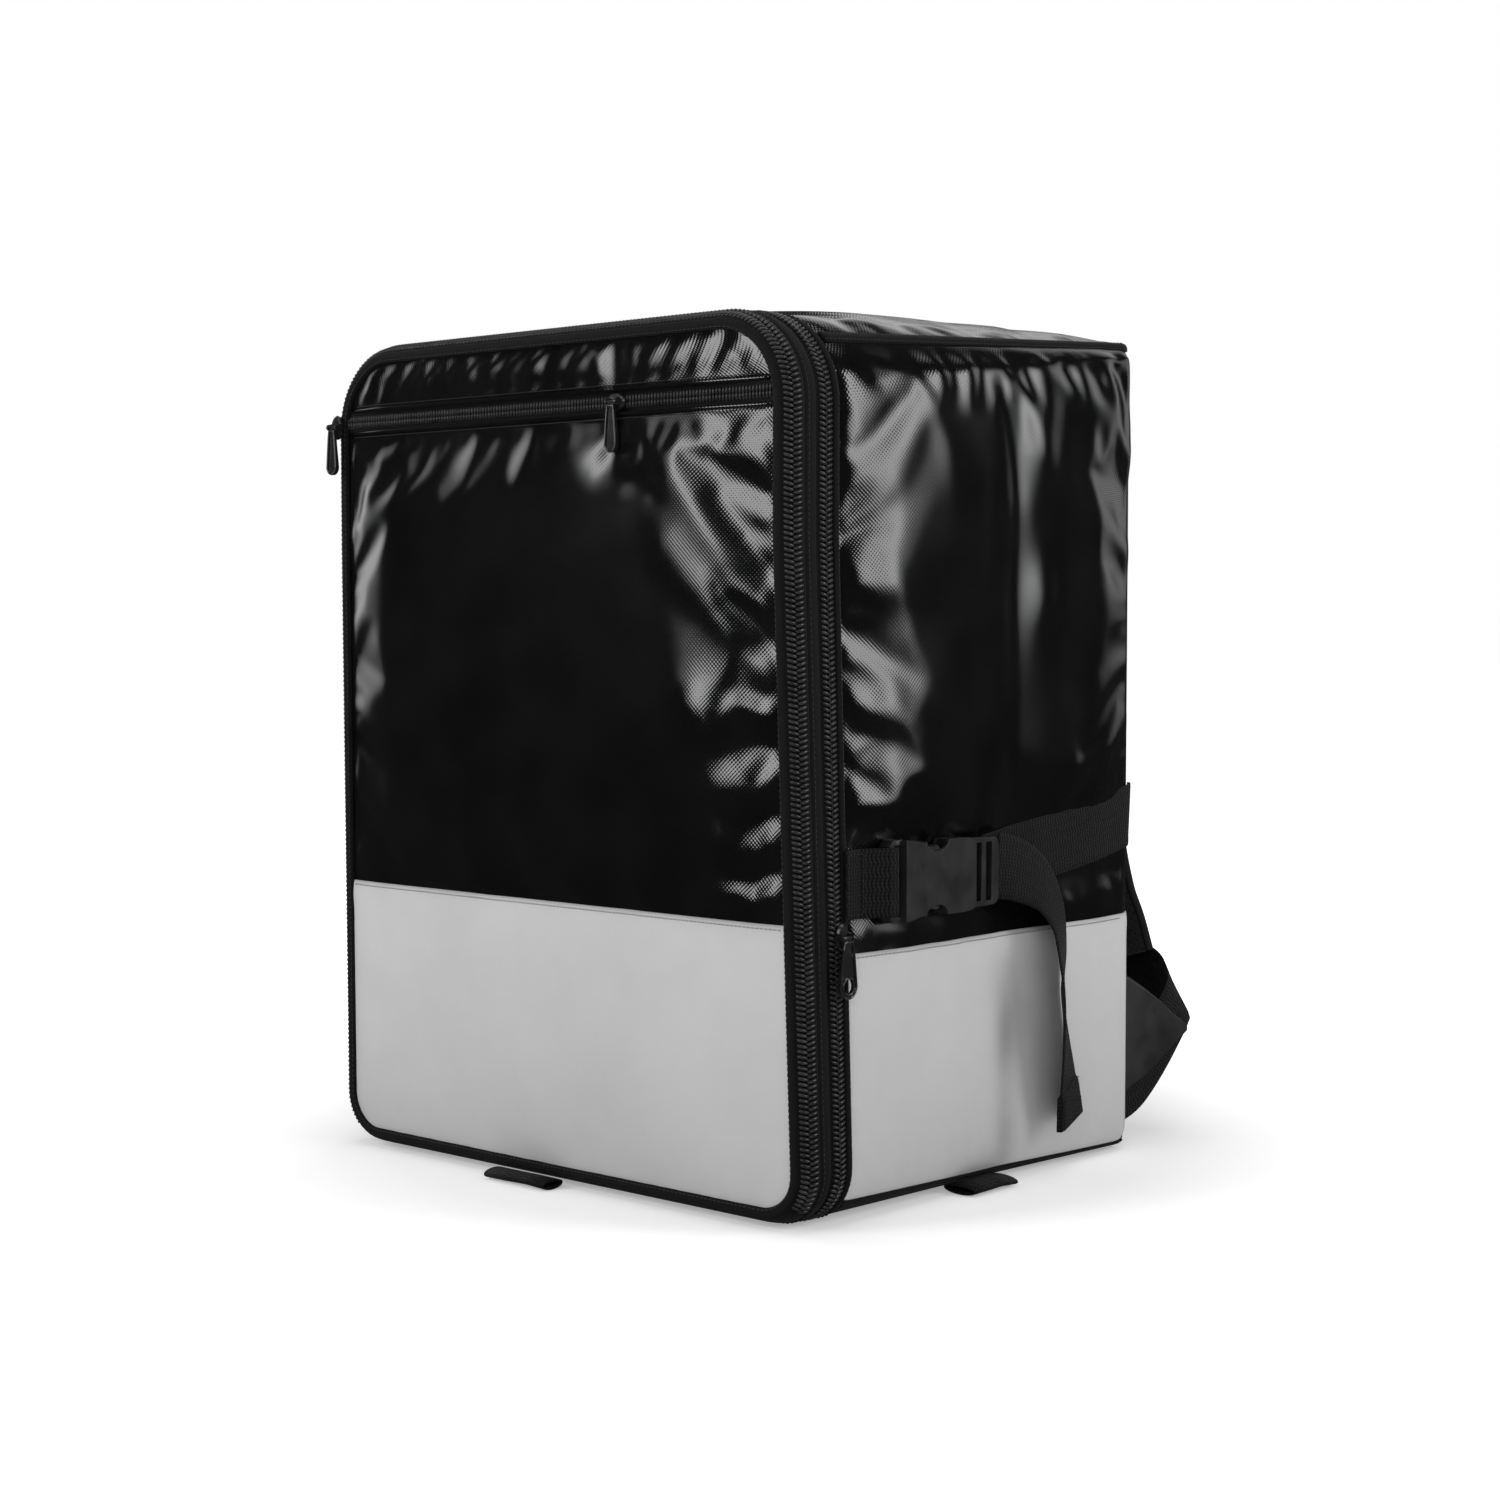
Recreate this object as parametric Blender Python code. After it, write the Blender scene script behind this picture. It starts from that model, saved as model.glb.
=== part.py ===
"""Insulated delivery backpack: a padded box with a zipped front door.

Metres, +Z up. The door faces -Y, the wearer's back is at +Y, and the photographed side is +X.
While it is modelled, y = 0 is the door's face and x = 0 is the middle of the bag. At the end
the whole bag is set with the bottom centre of its box at the origin.
"""
import math

import bpy
import bmesh
from mathutils import Matrix, Vector

# Main box
WIDTH = 0.371
DEPTH = 0.3173
HEIGHT = 0.491
REAR_RISE = 0.004
CROWN = 0.014
SIDE_BULGE = 0.003
WALL = 0.009
GAP = 0.0003
FRONT_TOP_RADIUS = 0.050
FRONT_LOW_RADIUS = 0.032
REAR_RADIUS = 0.015
REAR_ROUND = 0.012
BASE_TUCK = 0.001

# How the loaded bag settles: its front foot spreads and slides back
SETTLE_TOP = 0.37
SETTLE_REACH = 0.20
SPREAD_FOOT = 0.007
LEAN_FOOT = 0.008

# Front edge, from the door's binding back to the main panels
BINDING_WIDTH = 0.0092
BINDING_PROUD = 0.0015
DOOR_FACE = 0.0035
DOOR_THICK = 0.0087
DOOR_ZIP_WIDTH = 0.0106
GUSSET_WIDTH = 0.0076
EXPANSION_ZIP_WIDTH = 0.0182
ZIP_TAPE = 0.0014
ZIP_COIL_RISE = 0.0012
ZIP_COIL_HALF = 0.0046

# Front of the door
BAND_FRONT_HEIGHT = 0.165
POCKET_ZIP_DROP = 0.0525
POCKET_ZIP_HEIGHT = 0.0145
COVER_THICK = 0.0022
COVER_MARGIN = 0.0008
COVER_BULGE = 0.0038
COIL_NARROW_HALF = 0.0034

# Side bands and seams
BAND_SIDE_HEIGHT = 0.147
BAND_SIDE_START = 0.0500
BAND_THICK = 0.0012
BAND_FOOT_MARGIN = 0.001
SEAM_WIDTH = 0.0066
SEAM_RISE = 0.0018

# Back
PAD_SIDE = 0.0185
PAD_LOW = 0.050
PAD_RISE = 0.0065
PAD_THICK = 0.012
PAD_RADIUS = 0.028

# Side compression strap, webbing and side-release buckle
WEB_WIDTH = 0.0375
WEB_THICK = 0.0018
STRAP_Z = 0.1845
BUCKLE_START = 0.0660
BUCKLE_WEB_RUN = 0.0120
BUCKLE_WEB_FLAT = 0.0080
BUCKLE_WEB_LIFT = 0.0078
BUCKLE_FEMALE_LENGTH = 0.0725
BUCKLE_MALE_LENGTH = 0.0240
BUCKLE_FLANGE_HALF = 0.0225
BUCKLE_BODY_HALF = 0.0208
BUCKLE_THICK = 0.0110
BUCKLE_STAND = 0.0012
BUCKLE_SLOT = 0.0062
BUCKLE_BAR = 0.0042
BUCKLE_RIM = 0.0030
BUCKLE_SHELL = 0.0022
BUCKLE_WINDOW = 0.0215
BUCKLE_WINDOW_DEPTH = 0.0062
BUCKLE_WINDOW_AT = 0.44
BUCKLE_FLANGE_THICK = 0.0075
BUCKLE_HOLLOW_HALF = 0.0165
BUCKLE_PLAY = 0.0005
BUCKLE_ARM_INSET = 0.0030
BUCKLE_ARM_INNER = 0.0065
BUCKLE_ARM_OUTER = 0.0158
BUCKLE_LADDER_START = 0.0030
BUCKLE_LADDER_SLOT = 0.0052
REAR_WEB_RISE = 0.0225
TAIL_REACH = 0.070
TAIL_OUT = 0.0135
TAIL_DROP = 0.156
TAIL_FOLD = 0.0150
TAIL_CLEAR = 0.0042

# Shoulder straps, the webbing at their feet and the sewn corner wings
SHOULDER_WIDTH = 0.062
SHOULDER_THICK = 0.0096
SHOULDER_ROOT_X = 0.080
SHOULDER_ROOT_DROP = 0.0355
SHOULDER_FOOT_Z = 0.105
SHOULDER_STAND = 0.055
SHOULDER_SPREAD = 0.043
FOOT_WEB_INSET = 0.012
FOOT_WEB_START = 0.033
FOOT_WEB_TUCK = 0.003
FOOT_WEB_CLEAR = 0.0018
WING_TOP = 0.107
WING_FOOT = 0.034
WING_TIP_Z = 0.065
WING_REACH = 0.076
WING_THICK = 0.0024
WING_INSET = 0.0062
WING_LEAN = 0.0025
WING_TIP_HALF = 0.0015

# Webbing loops under the foot
LOOP_LENGTH = 0.023
LOOP_HEIGHT = 0.0058
LOOP_WEB = 0.0014
SIDE_LOOP_WIDTH = 0.040
SIDE_LOOP_Y = 0.163
FRONT_LOOP_WIDTH = 0.050
FRONT_LOOP_X = -0.018
FRONT_LOOP_LENGTH = 0.016

# Zip sliders and pulls
SLIDER_LENGTH = 0.0150
SLIDER_WIDTH = 0.0100
SLIDER_THICK = 0.0030
EAR_THICK = 0.0013
EAR_HEIGHT = 0.0040
EAR_ROUND = 0.0018
EAR_HALF = 0.0026
PIN_RADIUS = 0.0011
PULL_THICK = 0.0016
POCKET_PULL_LENGTH = 0.0280
POCKET_PULL_TOP = 0.0052
POCKET_PULL_WIDTH = 0.0096
POCKET_SLIDER_X = 0.0600
SIDE_PULL_LENGTH = 0.0330
SIDE_PULL_TOP = 0.0064
SIDE_PULL_WIDTH = 0.0140
SIDE_PULL_HOLE = 0.0088
SIDE_SLIDER_Z = 0.1570
SIDE_SLIDER_BACK = 0.0020
DOOR_PULL_LENGTH = 0.0290
DOOR_SLIDER_DROP = 0.0480
DOOR_SLIDER_INSET = 0.0052

# Steps round one half of the outline: base, low corner, side, high corner, top
BASE_STEPS = 2
ARC_STEPS = 6
SIDE_STEPS = 4
TOP_STEPS = 4
LOW_SPLIT = BASE_STEPS + ARC_STEPS // 2
HIGH_SPLIT = BASE_STEPS + ARC_STEPS + SIDE_STEPS + ARC_STEPS // 2
HALF_COUNT = BASE_STEPS + ARC_STEPS + SIDE_STEPS + ARC_STEPS + TOP_STEPS
LOOP_COUNT = 2 * HALF_COUNT

# Places that follow from the sizes
HALF = WIDTH / 2
ZIP_STACK = ZIP_TAPE + ZIP_COIL_RISE
ZIP_STEP = ZIP_STACK + GAP
DOOR_BACK = DOOR_FACE + DOOR_THICK
DOOR_ZIP_END = DOOR_FACE + DOOR_ZIP_WIDTH
GUSSET_START = DOOR_ZIP_END + GAP
GUSSET_END = GUSSET_START + GUSSET_WIDTH
EXPANSION_START = GUSSET_END + GAP
EXPANSION_END = EXPANSION_START + EXPANSION_ZIP_WIDTH
PANEL_FRONT = DOOR_BACK + 2 * GAP
PANEL_STEP = EXPANSION_END + GAP
PAD_FACE = DEPTH + GAP + PAD_THICK
PAD_HALF = HALF - PAD_SIDE
PAD_HIGH = HEIGHT + PAD_RISE
POCKET_ZIP_BOTTOM = HEIGHT - POCKET_ZIP_DROP
DOOR_SLIDER_Z = HEIGHT - DOOR_SLIDER_DROP
SHOULDER_ROOT_Z = PAD_HIGH - SHOULDER_ROOT_DROP
SHOULDER_DROP = SHOULDER_ROOT_Z - SHOULDER_FOOT_Z
BUCKLE_END = BUCKLE_START + BUCKLE_FEMALE_LENGTH
BUCKLE_BODY_START = BUCKLE_START + BUCKLE_BAR + BUCKLE_SLOT
BUCKLE_WINDOW_Y = BUCKLE_BODY_START + BUCKLE_WINDOW_AT * (BUCKLE_END - BUCKLE_BODY_START)

# Shape of the main body along its depth, as shares:
# share of the depth, share of the crown, share of the side bulge
BODY = (
    (0.26, 0.45, 0.80),
    (0.38, 0.80, 1.00),
    (0.50, 1.00, 0.45),
    (0.60, 1.00, -0.25),
    (0.70, 1.00, 0.45),
    (0.84, 1.00, 1.00),
)

# The rounded rear edge: share of the rounding left behind, share of its inset
REAR_EDGE = ((1.0, 0.0), (0.5, 0.27), (0.17, 0.67), (0.0, 1.0))
REAR_INSET = 0.0060

# The padding's edge: share of its thickness, share of its rounding
PAD_EDGE = ((0.0, 0.0), (0.55, 0.0), (0.85, 0.25), (1.0, 0.75))

COLOURS = {
    "vinyl": ((0.010, 0.010, 0.011), 0.30, 0.0),
    "reflective": ((0.50, 0.50, 0.50), 0.55, 0.0),
    "tape": ((0.012, 0.012, 0.013), 0.75, 0.0),
    "webbing": ((0.011, 0.011, 0.012), 0.80, 0.0),
    "mesh": ((0.010, 0.010, 0.011), 0.90, 0.0),
    "plastic": ((0.020, 0.020, 0.022), 0.42, 0.0),
    "metal": ((0.016, 0.016, 0.018), 0.25, 0.6),
}


def clear_scene():
    for old in list(bpy.data.objects):
        bpy.data.objects.remove(old, do_unlink=True)


def material(name):
    """One Principled material for each finish."""
    found = bpy.data.materials.get(name)
    if found:
        return found
    colour, rough, metallic = COLOURS[name]
    made = bpy.data.materials.new(name)
    made.use_nodes = True
    shader = made.node_tree.nodes["Principled BSDF"]
    shader.inputs["Base Color"].default_value = (*colour, 1.0)
    shader.inputs["Roughness"].default_value = rough
    shader.inputs["Metallic"].default_value = metallic
    return made


def add_object(name, bm, finish, carrier, place=None):
    """Turn a bmesh into a named object with outward faces."""
    bmesh.ops.recalc_face_normals(bm, faces=bm.faces)
    mesh = bpy.data.meshes.new(name)
    bm.to_mesh(mesh)
    bm.free()
    mesh.materials.append(material(finish))
    made = bpy.data.objects.new(name, mesh)
    bpy.context.collection.objects.link(made)
    if place is not None:
        made.location = place
    made.parent = carrier
    return made


def mix(a, b, share):
    return a + (b - a) * share


def clamp(value):
    return min(1.0, max(0.0, value))


def settle(point):
    """Spread and push back the front foot of the bag."""
    low = clamp((SETTLE_TOP - point.z) / SETTLE_TOP)
    front = clamp(1.0 - point.y / SETTLE_REACH)
    wide = point.x / HALF
    return Vector((
        point.x + SPREAD_FOOT * low * front * wide,
        point.y + LEAN_FOOT * low * front,
        point.z,
    ))


def body_shares(y):
    """Crown and bulge shares at a depth, read from the BODY table."""
    rows = ((PANEL_STEP / DEPTH, 0.0, 0.0),) + BODY + ((1.0, 0.85, 0.0),)
    share = y / DEPTH
    if share <= rows[0][0]:
        return 0.0, 0.0
    for before, after in zip(rows, rows[1:]):
        if share <= after[0]:
            t = (share - before[0]) / (after[0] - before[0])
            t = t * t * (3 - 2 * t)
            return mix(before[1], after[1], t), mix(before[2], after[2], t)
    return rows[-1][1], rows[-1][2]


def outline(y, inset=0.0):
    """The bag's outline at depth y, pulled in by inset, from the middle of the base round by +X.

    Gives (x, z) pairs. Every outline has the same number of points.
    """
    crown_share, bulge_share = body_shares(y)
    deep = clamp((y - PANEL_STEP) / (DEPTH - PANEL_STEP))
    high = HEIGHT + REAR_RISE * deep
    low = BASE_TUCK if y < PANEL_STEP else 0.0
    top_radius = mix(FRONT_TOP_RADIUS, REAR_RADIUS, deep)
    low_radius = mix(FRONT_LOW_RADIUS, REAR_RADIUS, deep)
    points = []
    for i in range(BASE_STEPS):
        points.append(((HALF - low_radius) * i / BASE_STEPS, low + inset))
    for i in range(ARC_STEPS):
        angle = math.radians(-90 + 90 * i / ARC_STEPS)
        radius = low_radius - inset
        points.append((
            HALF - low_radius + radius * math.cos(angle),
            low + low_radius + radius * math.sin(angle),
        ))
    for i in range(SIDE_STEPS):
        share = i / SIDE_STEPS
        bulge = SIDE_BULGE * bulge_share * math.sin(math.pi * share)
        points.append((HALF - inset + bulge, mix(low + low_radius, high - top_radius, share)))
    for i in range(ARC_STEPS):
        angle = math.radians(90 * i / ARC_STEPS)
        radius = top_radius - inset
        points.append((
            HALF - top_radius + radius * math.cos(angle),
            high - top_radius + radius * math.sin(angle),
        ))
    for i in range(TOP_STEPS + 1):
        share = i / TOP_STEPS
        rise = CROWN * crown_share * math.sin(0.5 * math.pi * share)
        points.append(((HALF - top_radius) * (1 - share), high - inset + rise))
    return points + [(-x, z) for x, z in reversed(points[1:-1])]


def half_width(z, inset):
    """Half the width of the door's outline at height z, pulled in by inset."""
    high_centre = HEIGHT - FRONT_TOP_RADIUS
    low_centre = BASE_TUCK + FRONT_LOW_RADIUS
    if z > high_centre:
        reach = (FRONT_TOP_RADIUS - inset) ** 2 - (z - high_centre) ** 2
        return HALF - FRONT_TOP_RADIUS + math.sqrt(max(reach, 0.0))
    if z < low_centre:
        reach = (FRONT_LOW_RADIUS - inset) ** 2 - (low_centre - z) ** 2
        return HALF - FRONT_LOW_RADIUS + math.sqrt(max(reach, 0.0))
    return HALF - inset


def height_on(points, z):
    """How far out the +X side of an outline stands at height z."""
    side = points[LOW_SPLIT - 2:HIGH_SPLIT + 3]
    for (x0, z0), (x1, z1) in zip(side, side[1:]):
        if z0 <= z <= z1:
            return mix(x0, x1, (z - z0) / (z1 - z0))
    return side[0][0]


def side_surface(y, z):
    """How far out the side stands at a depth and height, before the bag settles."""
    rows = [row for row in panel_sections() if row[0] >= PANEL_STEP]
    y = max(y, PANEL_STEP)
    for (y0, inset0), (y1, inset1) in zip(rows, rows[1:]):
        if y <= y1:
            before = height_on(outline(y0, inset0), z)
            after = height_on(outline(y1, inset1), z)
            return mix(before, after, (y - y0) / (y1 - y0))
    return height_on(outline(*rows[-1]), z)


def cap(bm, ring, style):
    """Close one end of a body.

    "whole" is one face. "wall" joins the two sides of a long thin profile. "mirror" joins the
    left and right halves of an outline that starts at its middle.
    """
    count = len(ring)
    if style == "whole":
        bm.faces.new(ring)
    elif style == "wall":
        for i in range(count // 2 - 1):
            bm.faces.new((ring[i], ring[i + 1], ring[count - 2 - i], ring[count - 1 - i]))
    else:
        bm.faces.new((ring[0], ring[1], ring[-1]))
        for i in range(1, count // 2 - 1):
            bm.faces.new((ring[i], ring[i + 1], ring[count - 1 - i], ring[count - i]))
        bm.faces.new((ring[count // 2 - 1], ring[count // 2], ring[count // 2 + 1]))


def skin(rings, closed=False, style="whole"):
    """A closed body through rings of equally many points, capped at both ends unless it is a ring."""
    bm = bmesh.new()
    rows = [[bm.verts.new(p) for p in ring] for ring in rings]
    count = len(rows[0])
    pairs = list(zip(rows, rows[1:]))
    if closed:
        pairs.append((rows[-1], rows[0]))
    for first, second in pairs:
        for i in range(count):
            j = (i + 1) % count
            bm.faces.new((first[i], first[j], second[j], second[i]))
    if not closed:
        cap(bm, rows[0], style)
        cap(bm, rows[-1], style)
    return bm


def quilt(front_rows, back_rows):
    """A closed sheet from a front and a back grid of the same size."""
    bm = bmesh.new()
    front = [[bm.verts.new(p) for p in row] for row in front_rows]
    back = [[bm.verts.new(p) for p in row] for row in back_rows]
    down, across = len(front), len(front[0])
    for i in range(down - 1):
        for j in range(across - 1):
            bm.faces.new((front[i][j], front[i][j + 1], front[i + 1][j + 1], front[i + 1][j]))
            bm.faces.new((back[i][j], back[i + 1][j], back[i + 1][j + 1], back[i][j + 1]))
    edge = [(0, j) for j in range(across - 1)]
    edge += [(i, across - 1) for i in range(down - 1)]
    edge += [(down - 1, j) for j in range(across - 1, 0, -1)]
    edge += [(i, 0) for i in range(down - 1, 0, -1)]
    for (a, b), (c, d) in zip(edge, edge[1:] + edge[:1]):
        bm.faces.new((front[a][b], back[a][b], back[c][d], front[c][d]))
    return bm


def prism(points, near, far):
    """A flat outline extruded between two offsets. Points are (a, b) and near and far place them."""
    return skin([[near(a, b) for a, b in points], [far(a, b) for a, b in points]])


def mirrored(name, source, finish, carrier):
    """The same piece on the bag's other side."""
    bm = bmesh.new()
    bm.from_mesh(source.data)
    bmesh.ops.transform(bm, matrix=Matrix.Scale(-1, 4, (1, 0, 0)), verts=bm.verts)
    place = Vector((-source.location.x, source.location.y, source.location.z))
    return add_object(name, bm, finish, carrier, place)


def panel_sections():
    """Depths of the main panels' sections with the outer face's inset at each."""
    rows = [(PANEL_FRONT, ZIP_STEP), (PANEL_STEP - GAP, ZIP_STEP), (PANEL_STEP, 0.0)]
    rows += [(BAND_SIDE_START, 0.0)]
    rows += [(share * DEPTH, 0.0) for share, crown, bulge in BODY]
    rows += [(DEPTH - REAR_ROUND * left, REAR_INSET * inset) for left, inset in REAR_EDGE]
    return rows


def trimmed(points):
    """Pull both ends of an open run of points in by half the gap between panels."""
    def moved(end, towards):
        step = (Vector(towards) - Vector(end)).normalized() * GAP / 2
        return tuple(Vector(end) + step)
    return [moved(points[0], points[1])] + points[1:-1] + [moved(points[-1], points[-2])]


def padded_panel(name, first, last, carrier):
    """One foam-filled panel of the box, from one split of the outline to the next."""
    picks = [i % LOOP_COUNT for i in range(first, last + 1)]
    rings = []
    for y, inset in panel_sections():
        outer = outline(y, inset)
        inner = outline(y, WALL)
        run = trimmed([outer[i] for i in picks]) + trimmed([inner[i] for i in picks])[::-1]
        rings.append([settle(Vector((x, y, z))) for x, z in run])
    return add_object(name, skin(rings, style="wall"), "vinyl", carrier)


def slab(name, y_front, y_back, inset, finish, carrier):
    """A board filling the outline, pulled in by inset."""
    rings = []
    for y in (y_front, y_back):
        rings.append([settle(Vector((x, y, z))) for x, z in outline(y_front, inset)])
    return add_object(name, skin(rings, style="mirror"), finish, carrier)


def edge_ring(name, profile, finish, carrier, first=0, last=LOOP_COUNT):
    """A strip round the door's outline. The profile is (y, inset) pairs."""
    loops = {}
    for y, inset in profile:
        loops[(y, inset)] = outline(0.0, inset)
    rings = []
    for i in range(first, last + (0 if last - first == LOOP_COUNT else 1)):
        at = i % LOOP_COUNT
        rings.append([
            settle(Vector((loops[key][at][0], key[0], loops[key][at][1]))) for key in profile
        ])
    return add_object(name, skin(rings, closed=last - first == LOOP_COUNT), finish, carrier)


def zip_profile(start, end, coil_half):
    """Zip tape with the coil standing proud along its middle, as (y, inset) pairs."""
    middle = (start + end) / 2
    flat = ZIP_COIL_RISE
    half = min(coil_half, (end - start) / 2 - GAP)
    crest = half * 0.72
    return (
        (start, ZIP_STACK), (start, flat), (middle - half, flat), (middle - crest, 0.0),
        (middle + crest, 0.0), (middle + half, flat), (end, flat), (end, ZIP_STACK),
    )


def main_panels(carrier):
    right = padded_panel("side_panel_right", LOW_SPLIT, HIGH_SPLIT, carrier)
    mirrored("side_panel_left", right, "vinyl", carrier)
    padded_panel("top_panel", HIGH_SPLIT, LOOP_COUNT - HIGH_SPLIT, carrier)
    padded_panel("bottom_panel", -LOW_SPLIT, LOW_SPLIT, carrier)
    inner = WALL + GAP
    rings = []
    for y in (DEPTH - WALL, DEPTH):
        rings.append([Vector((x, y, z)) for x, z in outline(DEPTH - WALL, inner)])
    add_object("back_panel", skin(rings), "vinyl", carrier)


def back_padding(carrier):
    """The mesh pad at the wearer's back, flat in the middle with a rolled edge."""
    steps = 5
    rings = []
    for y, inset in PAD_EDGE:
        pull = PAD_THICK * inset
        ring = []
        for corner in range(4):
            side = 1 if corner in (0, 1) else -1
            up = 1 if corner in (1, 2) else -1
            centre_x = side * (PAD_HALF - PAD_RADIUS)
            centre_z = PAD_HIGH - PAD_RADIUS if up > 0 else PAD_LOW + PAD_RADIUS
            for i in range(steps):
                angle = math.radians(-90 + 90 * corner + 90 * i / (steps - 1))
                radius = PAD_RADIUS - pull
                ring.append(Vector((
                    centre_x + radius * math.cos(angle),
                    DEPTH + GAP + PAD_THICK * y,
                    centre_z + radius * math.sin(angle),
                )))
        rings.append(ring)
    add_object("back_padding", skin(rings), "mesh", carrier)


def door(carrier):
    """The padded door with its edge binding and what joins it to the bag."""
    slab("door_panel", DOOR_FACE, DOOR_BACK, ZIP_STEP, "vinyl", carrier)
    front, back = -BINDING_PROUD, DOOR_FACE - GAP
    thick = back - front
    bead = (
        (back, GAP), (front + 0.40 * thick, GAP), (front, GAP + 0.22 * BINDING_WIDTH),
        (front, 0.78 * BINDING_WIDTH), (front + 0.40 * thick, BINDING_WIDTH), (back, BINDING_WIDTH),
    )
    edge_ring("door_binding", bead, "tape", carrier)
    coil = zip_profile(DOOR_FACE, DOOR_ZIP_END, ZIP_COIL_HALF)
    edge_ring("door_zip", coil, "tape", carrier, LOW_SPLIT, LOOP_COUNT - LOW_SPLIT)
    hinge = (
        (DOOR_FACE, ZIP_STACK), (DOOR_FACE, ZIP_COIL_RISE),
        (DOOR_ZIP_END, ZIP_COIL_RISE), (DOOR_ZIP_END, ZIP_STACK),
    )
    start = LOOP_COUNT - LOW_SPLIT
    edge_ring("door_hinge_strip", hinge, "tape", carrier, start + 1, start + 2 * LOW_SPLIT - 1)
    gusset = (
        (GUSSET_START, ZIP_STACK), (GUSSET_START, ZIP_TAPE / 2),
        (GUSSET_END, ZIP_TAPE / 2), (GUSSET_END, ZIP_STACK),
    )
    edge_ring("gusset_band", gusset, "vinyl", carrier)
    wide = zip_profile(EXPANSION_START, EXPANSION_END, ZIP_COIL_HALF)
    edge_ring("expansion_zip", wide, "tape", carrier)


# Rows of a cover as shares of its height, closer together where its corners are round
LOW_ROUND_ROWS = (0, 0.012, 0.04, 0.08, 0.14, 0.3, 0.55, 0.8, 1)
HIGH_ROUND_ROWS = (0, 0.25, 0.5, 0.7, 0.86, 0.96, 1)
PLAIN_ROWS = (0, 0.06, 0.15, 0.3, 0.5, 0.7, 0.85, 0.94, 1)


def cover(name, low, high, rows, across, bulge, finish, carrier):
    """A fabric cover on the door between two heights, inside the binding, slightly filled out."""
    inset = BINDING_WIDTH + COVER_MARGIN
    front_rows = []
    back_rows = []
    for row in rows:
        z = mix(low, high, row)
        half = half_width(z, inset)
        front_row = []
        back_row = []
        for j in range(across + 1):
            share = 2 * j / across - 1
            swell = (1 - share ** 4) * (1 - (2 * row - 1) ** 4)
            face = DOOR_FACE - GAP - COVER_THICK - bulge * swell
            front_row.append(settle(Vector((half * share, face, z))))
            back_row.append(settle(Vector((half * share, DOOR_FACE - GAP, z))))
        front_rows.append(front_row)
        back_rows.append(back_row)
    add_object(name, quilt(front_rows, back_rows), finish, carrier)


def front_covers(carrier):
    inset = BINDING_WIDTH + COVER_MARGIN
    floor = BASE_TUCK + inset
    ceiling = HEIGHT - inset
    strip_low = POCKET_ZIP_BOTTOM + POCKET_ZIP_HEIGHT + GAP
    cover("front_band", floor, BAND_FRONT_HEIGHT, LOW_ROUND_ROWS, 8, COVER_BULGE * 0.5,
          "reflective", carrier)
    cover("pocket_panel", BAND_FRONT_HEIGHT + GAP, POCKET_ZIP_BOTTOM - GAP, PLAIN_ROWS, 8, COVER_BULGE,
          "vinyl", carrier)
    cover("front_upper_strip", strip_low, ceiling, HIGH_ROUND_ROWS, 8, COVER_BULGE * 0.5,
          "vinyl", carrier)
    back = DOOR_FACE - GAP
    low, high = POCKET_ZIP_BOTTOM, POCKET_ZIP_BOTTOM + POCKET_ZIP_HEIGHT
    middle = (low + high) / 2
    crest = COIL_NARROW_HALF * 0.7
    profile = (
        (back, low), (back - ZIP_TAPE, low), (back - ZIP_TAPE, middle - COIL_NARROW_HALF),
        (back - ZIP_STACK, middle - crest), (back - ZIP_STACK, middle + crest),
        (back - ZIP_TAPE, middle + COIL_NARROW_HALF), (back - ZIP_TAPE, high), (back, high),
    )
    rings = []
    for share in (-1, 1):
        rings.append([
            settle(Vector((share * half_width(z, inset), y, z))) for y, z in profile
        ])
    add_object("pocket_zip", skin(rings), "tape", carrier)


def on_side(y, z, out):
    """A point standing out from the right side by a distance."""
    return settle(Vector((side_surface(y, z) + out, y, z)))


def side_band(carrier):
    """The reflective band along the foot of a side, on the same facets as the panel."""
    depths = [BAND_SIDE_START] + [share * DEPTH for share, crown, bulge in BODY]
    depths += [DEPTH - REAR_ROUND]
    side_start = BASE_STEPS + ARC_STEPS
    columns = []
    for y in depths:
        around = outline(y)
        heights = [around[LOW_SPLIT][1] + BAND_FOOT_MARGIN]
        heights += [around[i][1] for i in range(LOW_SPLIT + 1, side_start + 2)]
        heights.append(BAND_SIDE_HEIGHT)
        columns.append(heights)
    outer = []
    inner = []
    for i in range(len(columns[0])):
        outer.append([on_side(y, z[i], 2 * GAP + BAND_THICK) for y, z in zip(depths, columns)])
        inner.append([on_side(y, z[i], 2 * GAP) for y, z in zip(depths, columns)])
    right = add_object("side_band_right", quilt(outer, inner), "reflective", carrier)
    mirrored("side_band_left", right, "reflective", carrier)


def top_seam(carrier):
    """The bound seam between the top panel and a side panel."""
    rings = []
    depths = [PANEL_STEP + 2 * GAP] + [share * DEPTH for share, crown, bulge in BODY]
    depths += [DEPTH - REAR_ROUND]
    for y in depths:
        around = outline(y)
        at = Vector(around[HIGH_SPLIT])
        along = (Vector(around[HIGH_SPLIT + 1]) - Vector(around[HIGH_SPLIT - 1])).normalized()
        outward = Vector((along.y, -along.x))
        ring = []
        for a, n in ((-1, 0), (1, 0), (0.7, 1), (-0.7, 1)):
            spot = at + along * a * SEAM_WIDTH / 2 + outward * (2 * GAP + n * SEAM_RISE)
            ring.append(settle(Vector((spot.x, y, spot.y))))
        rings.append(ring)
    right = add_object("top_seam_right", skin(rings), "tape", carrier)
    mirrored("top_seam_left", right, "tape", carrier)


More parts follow.
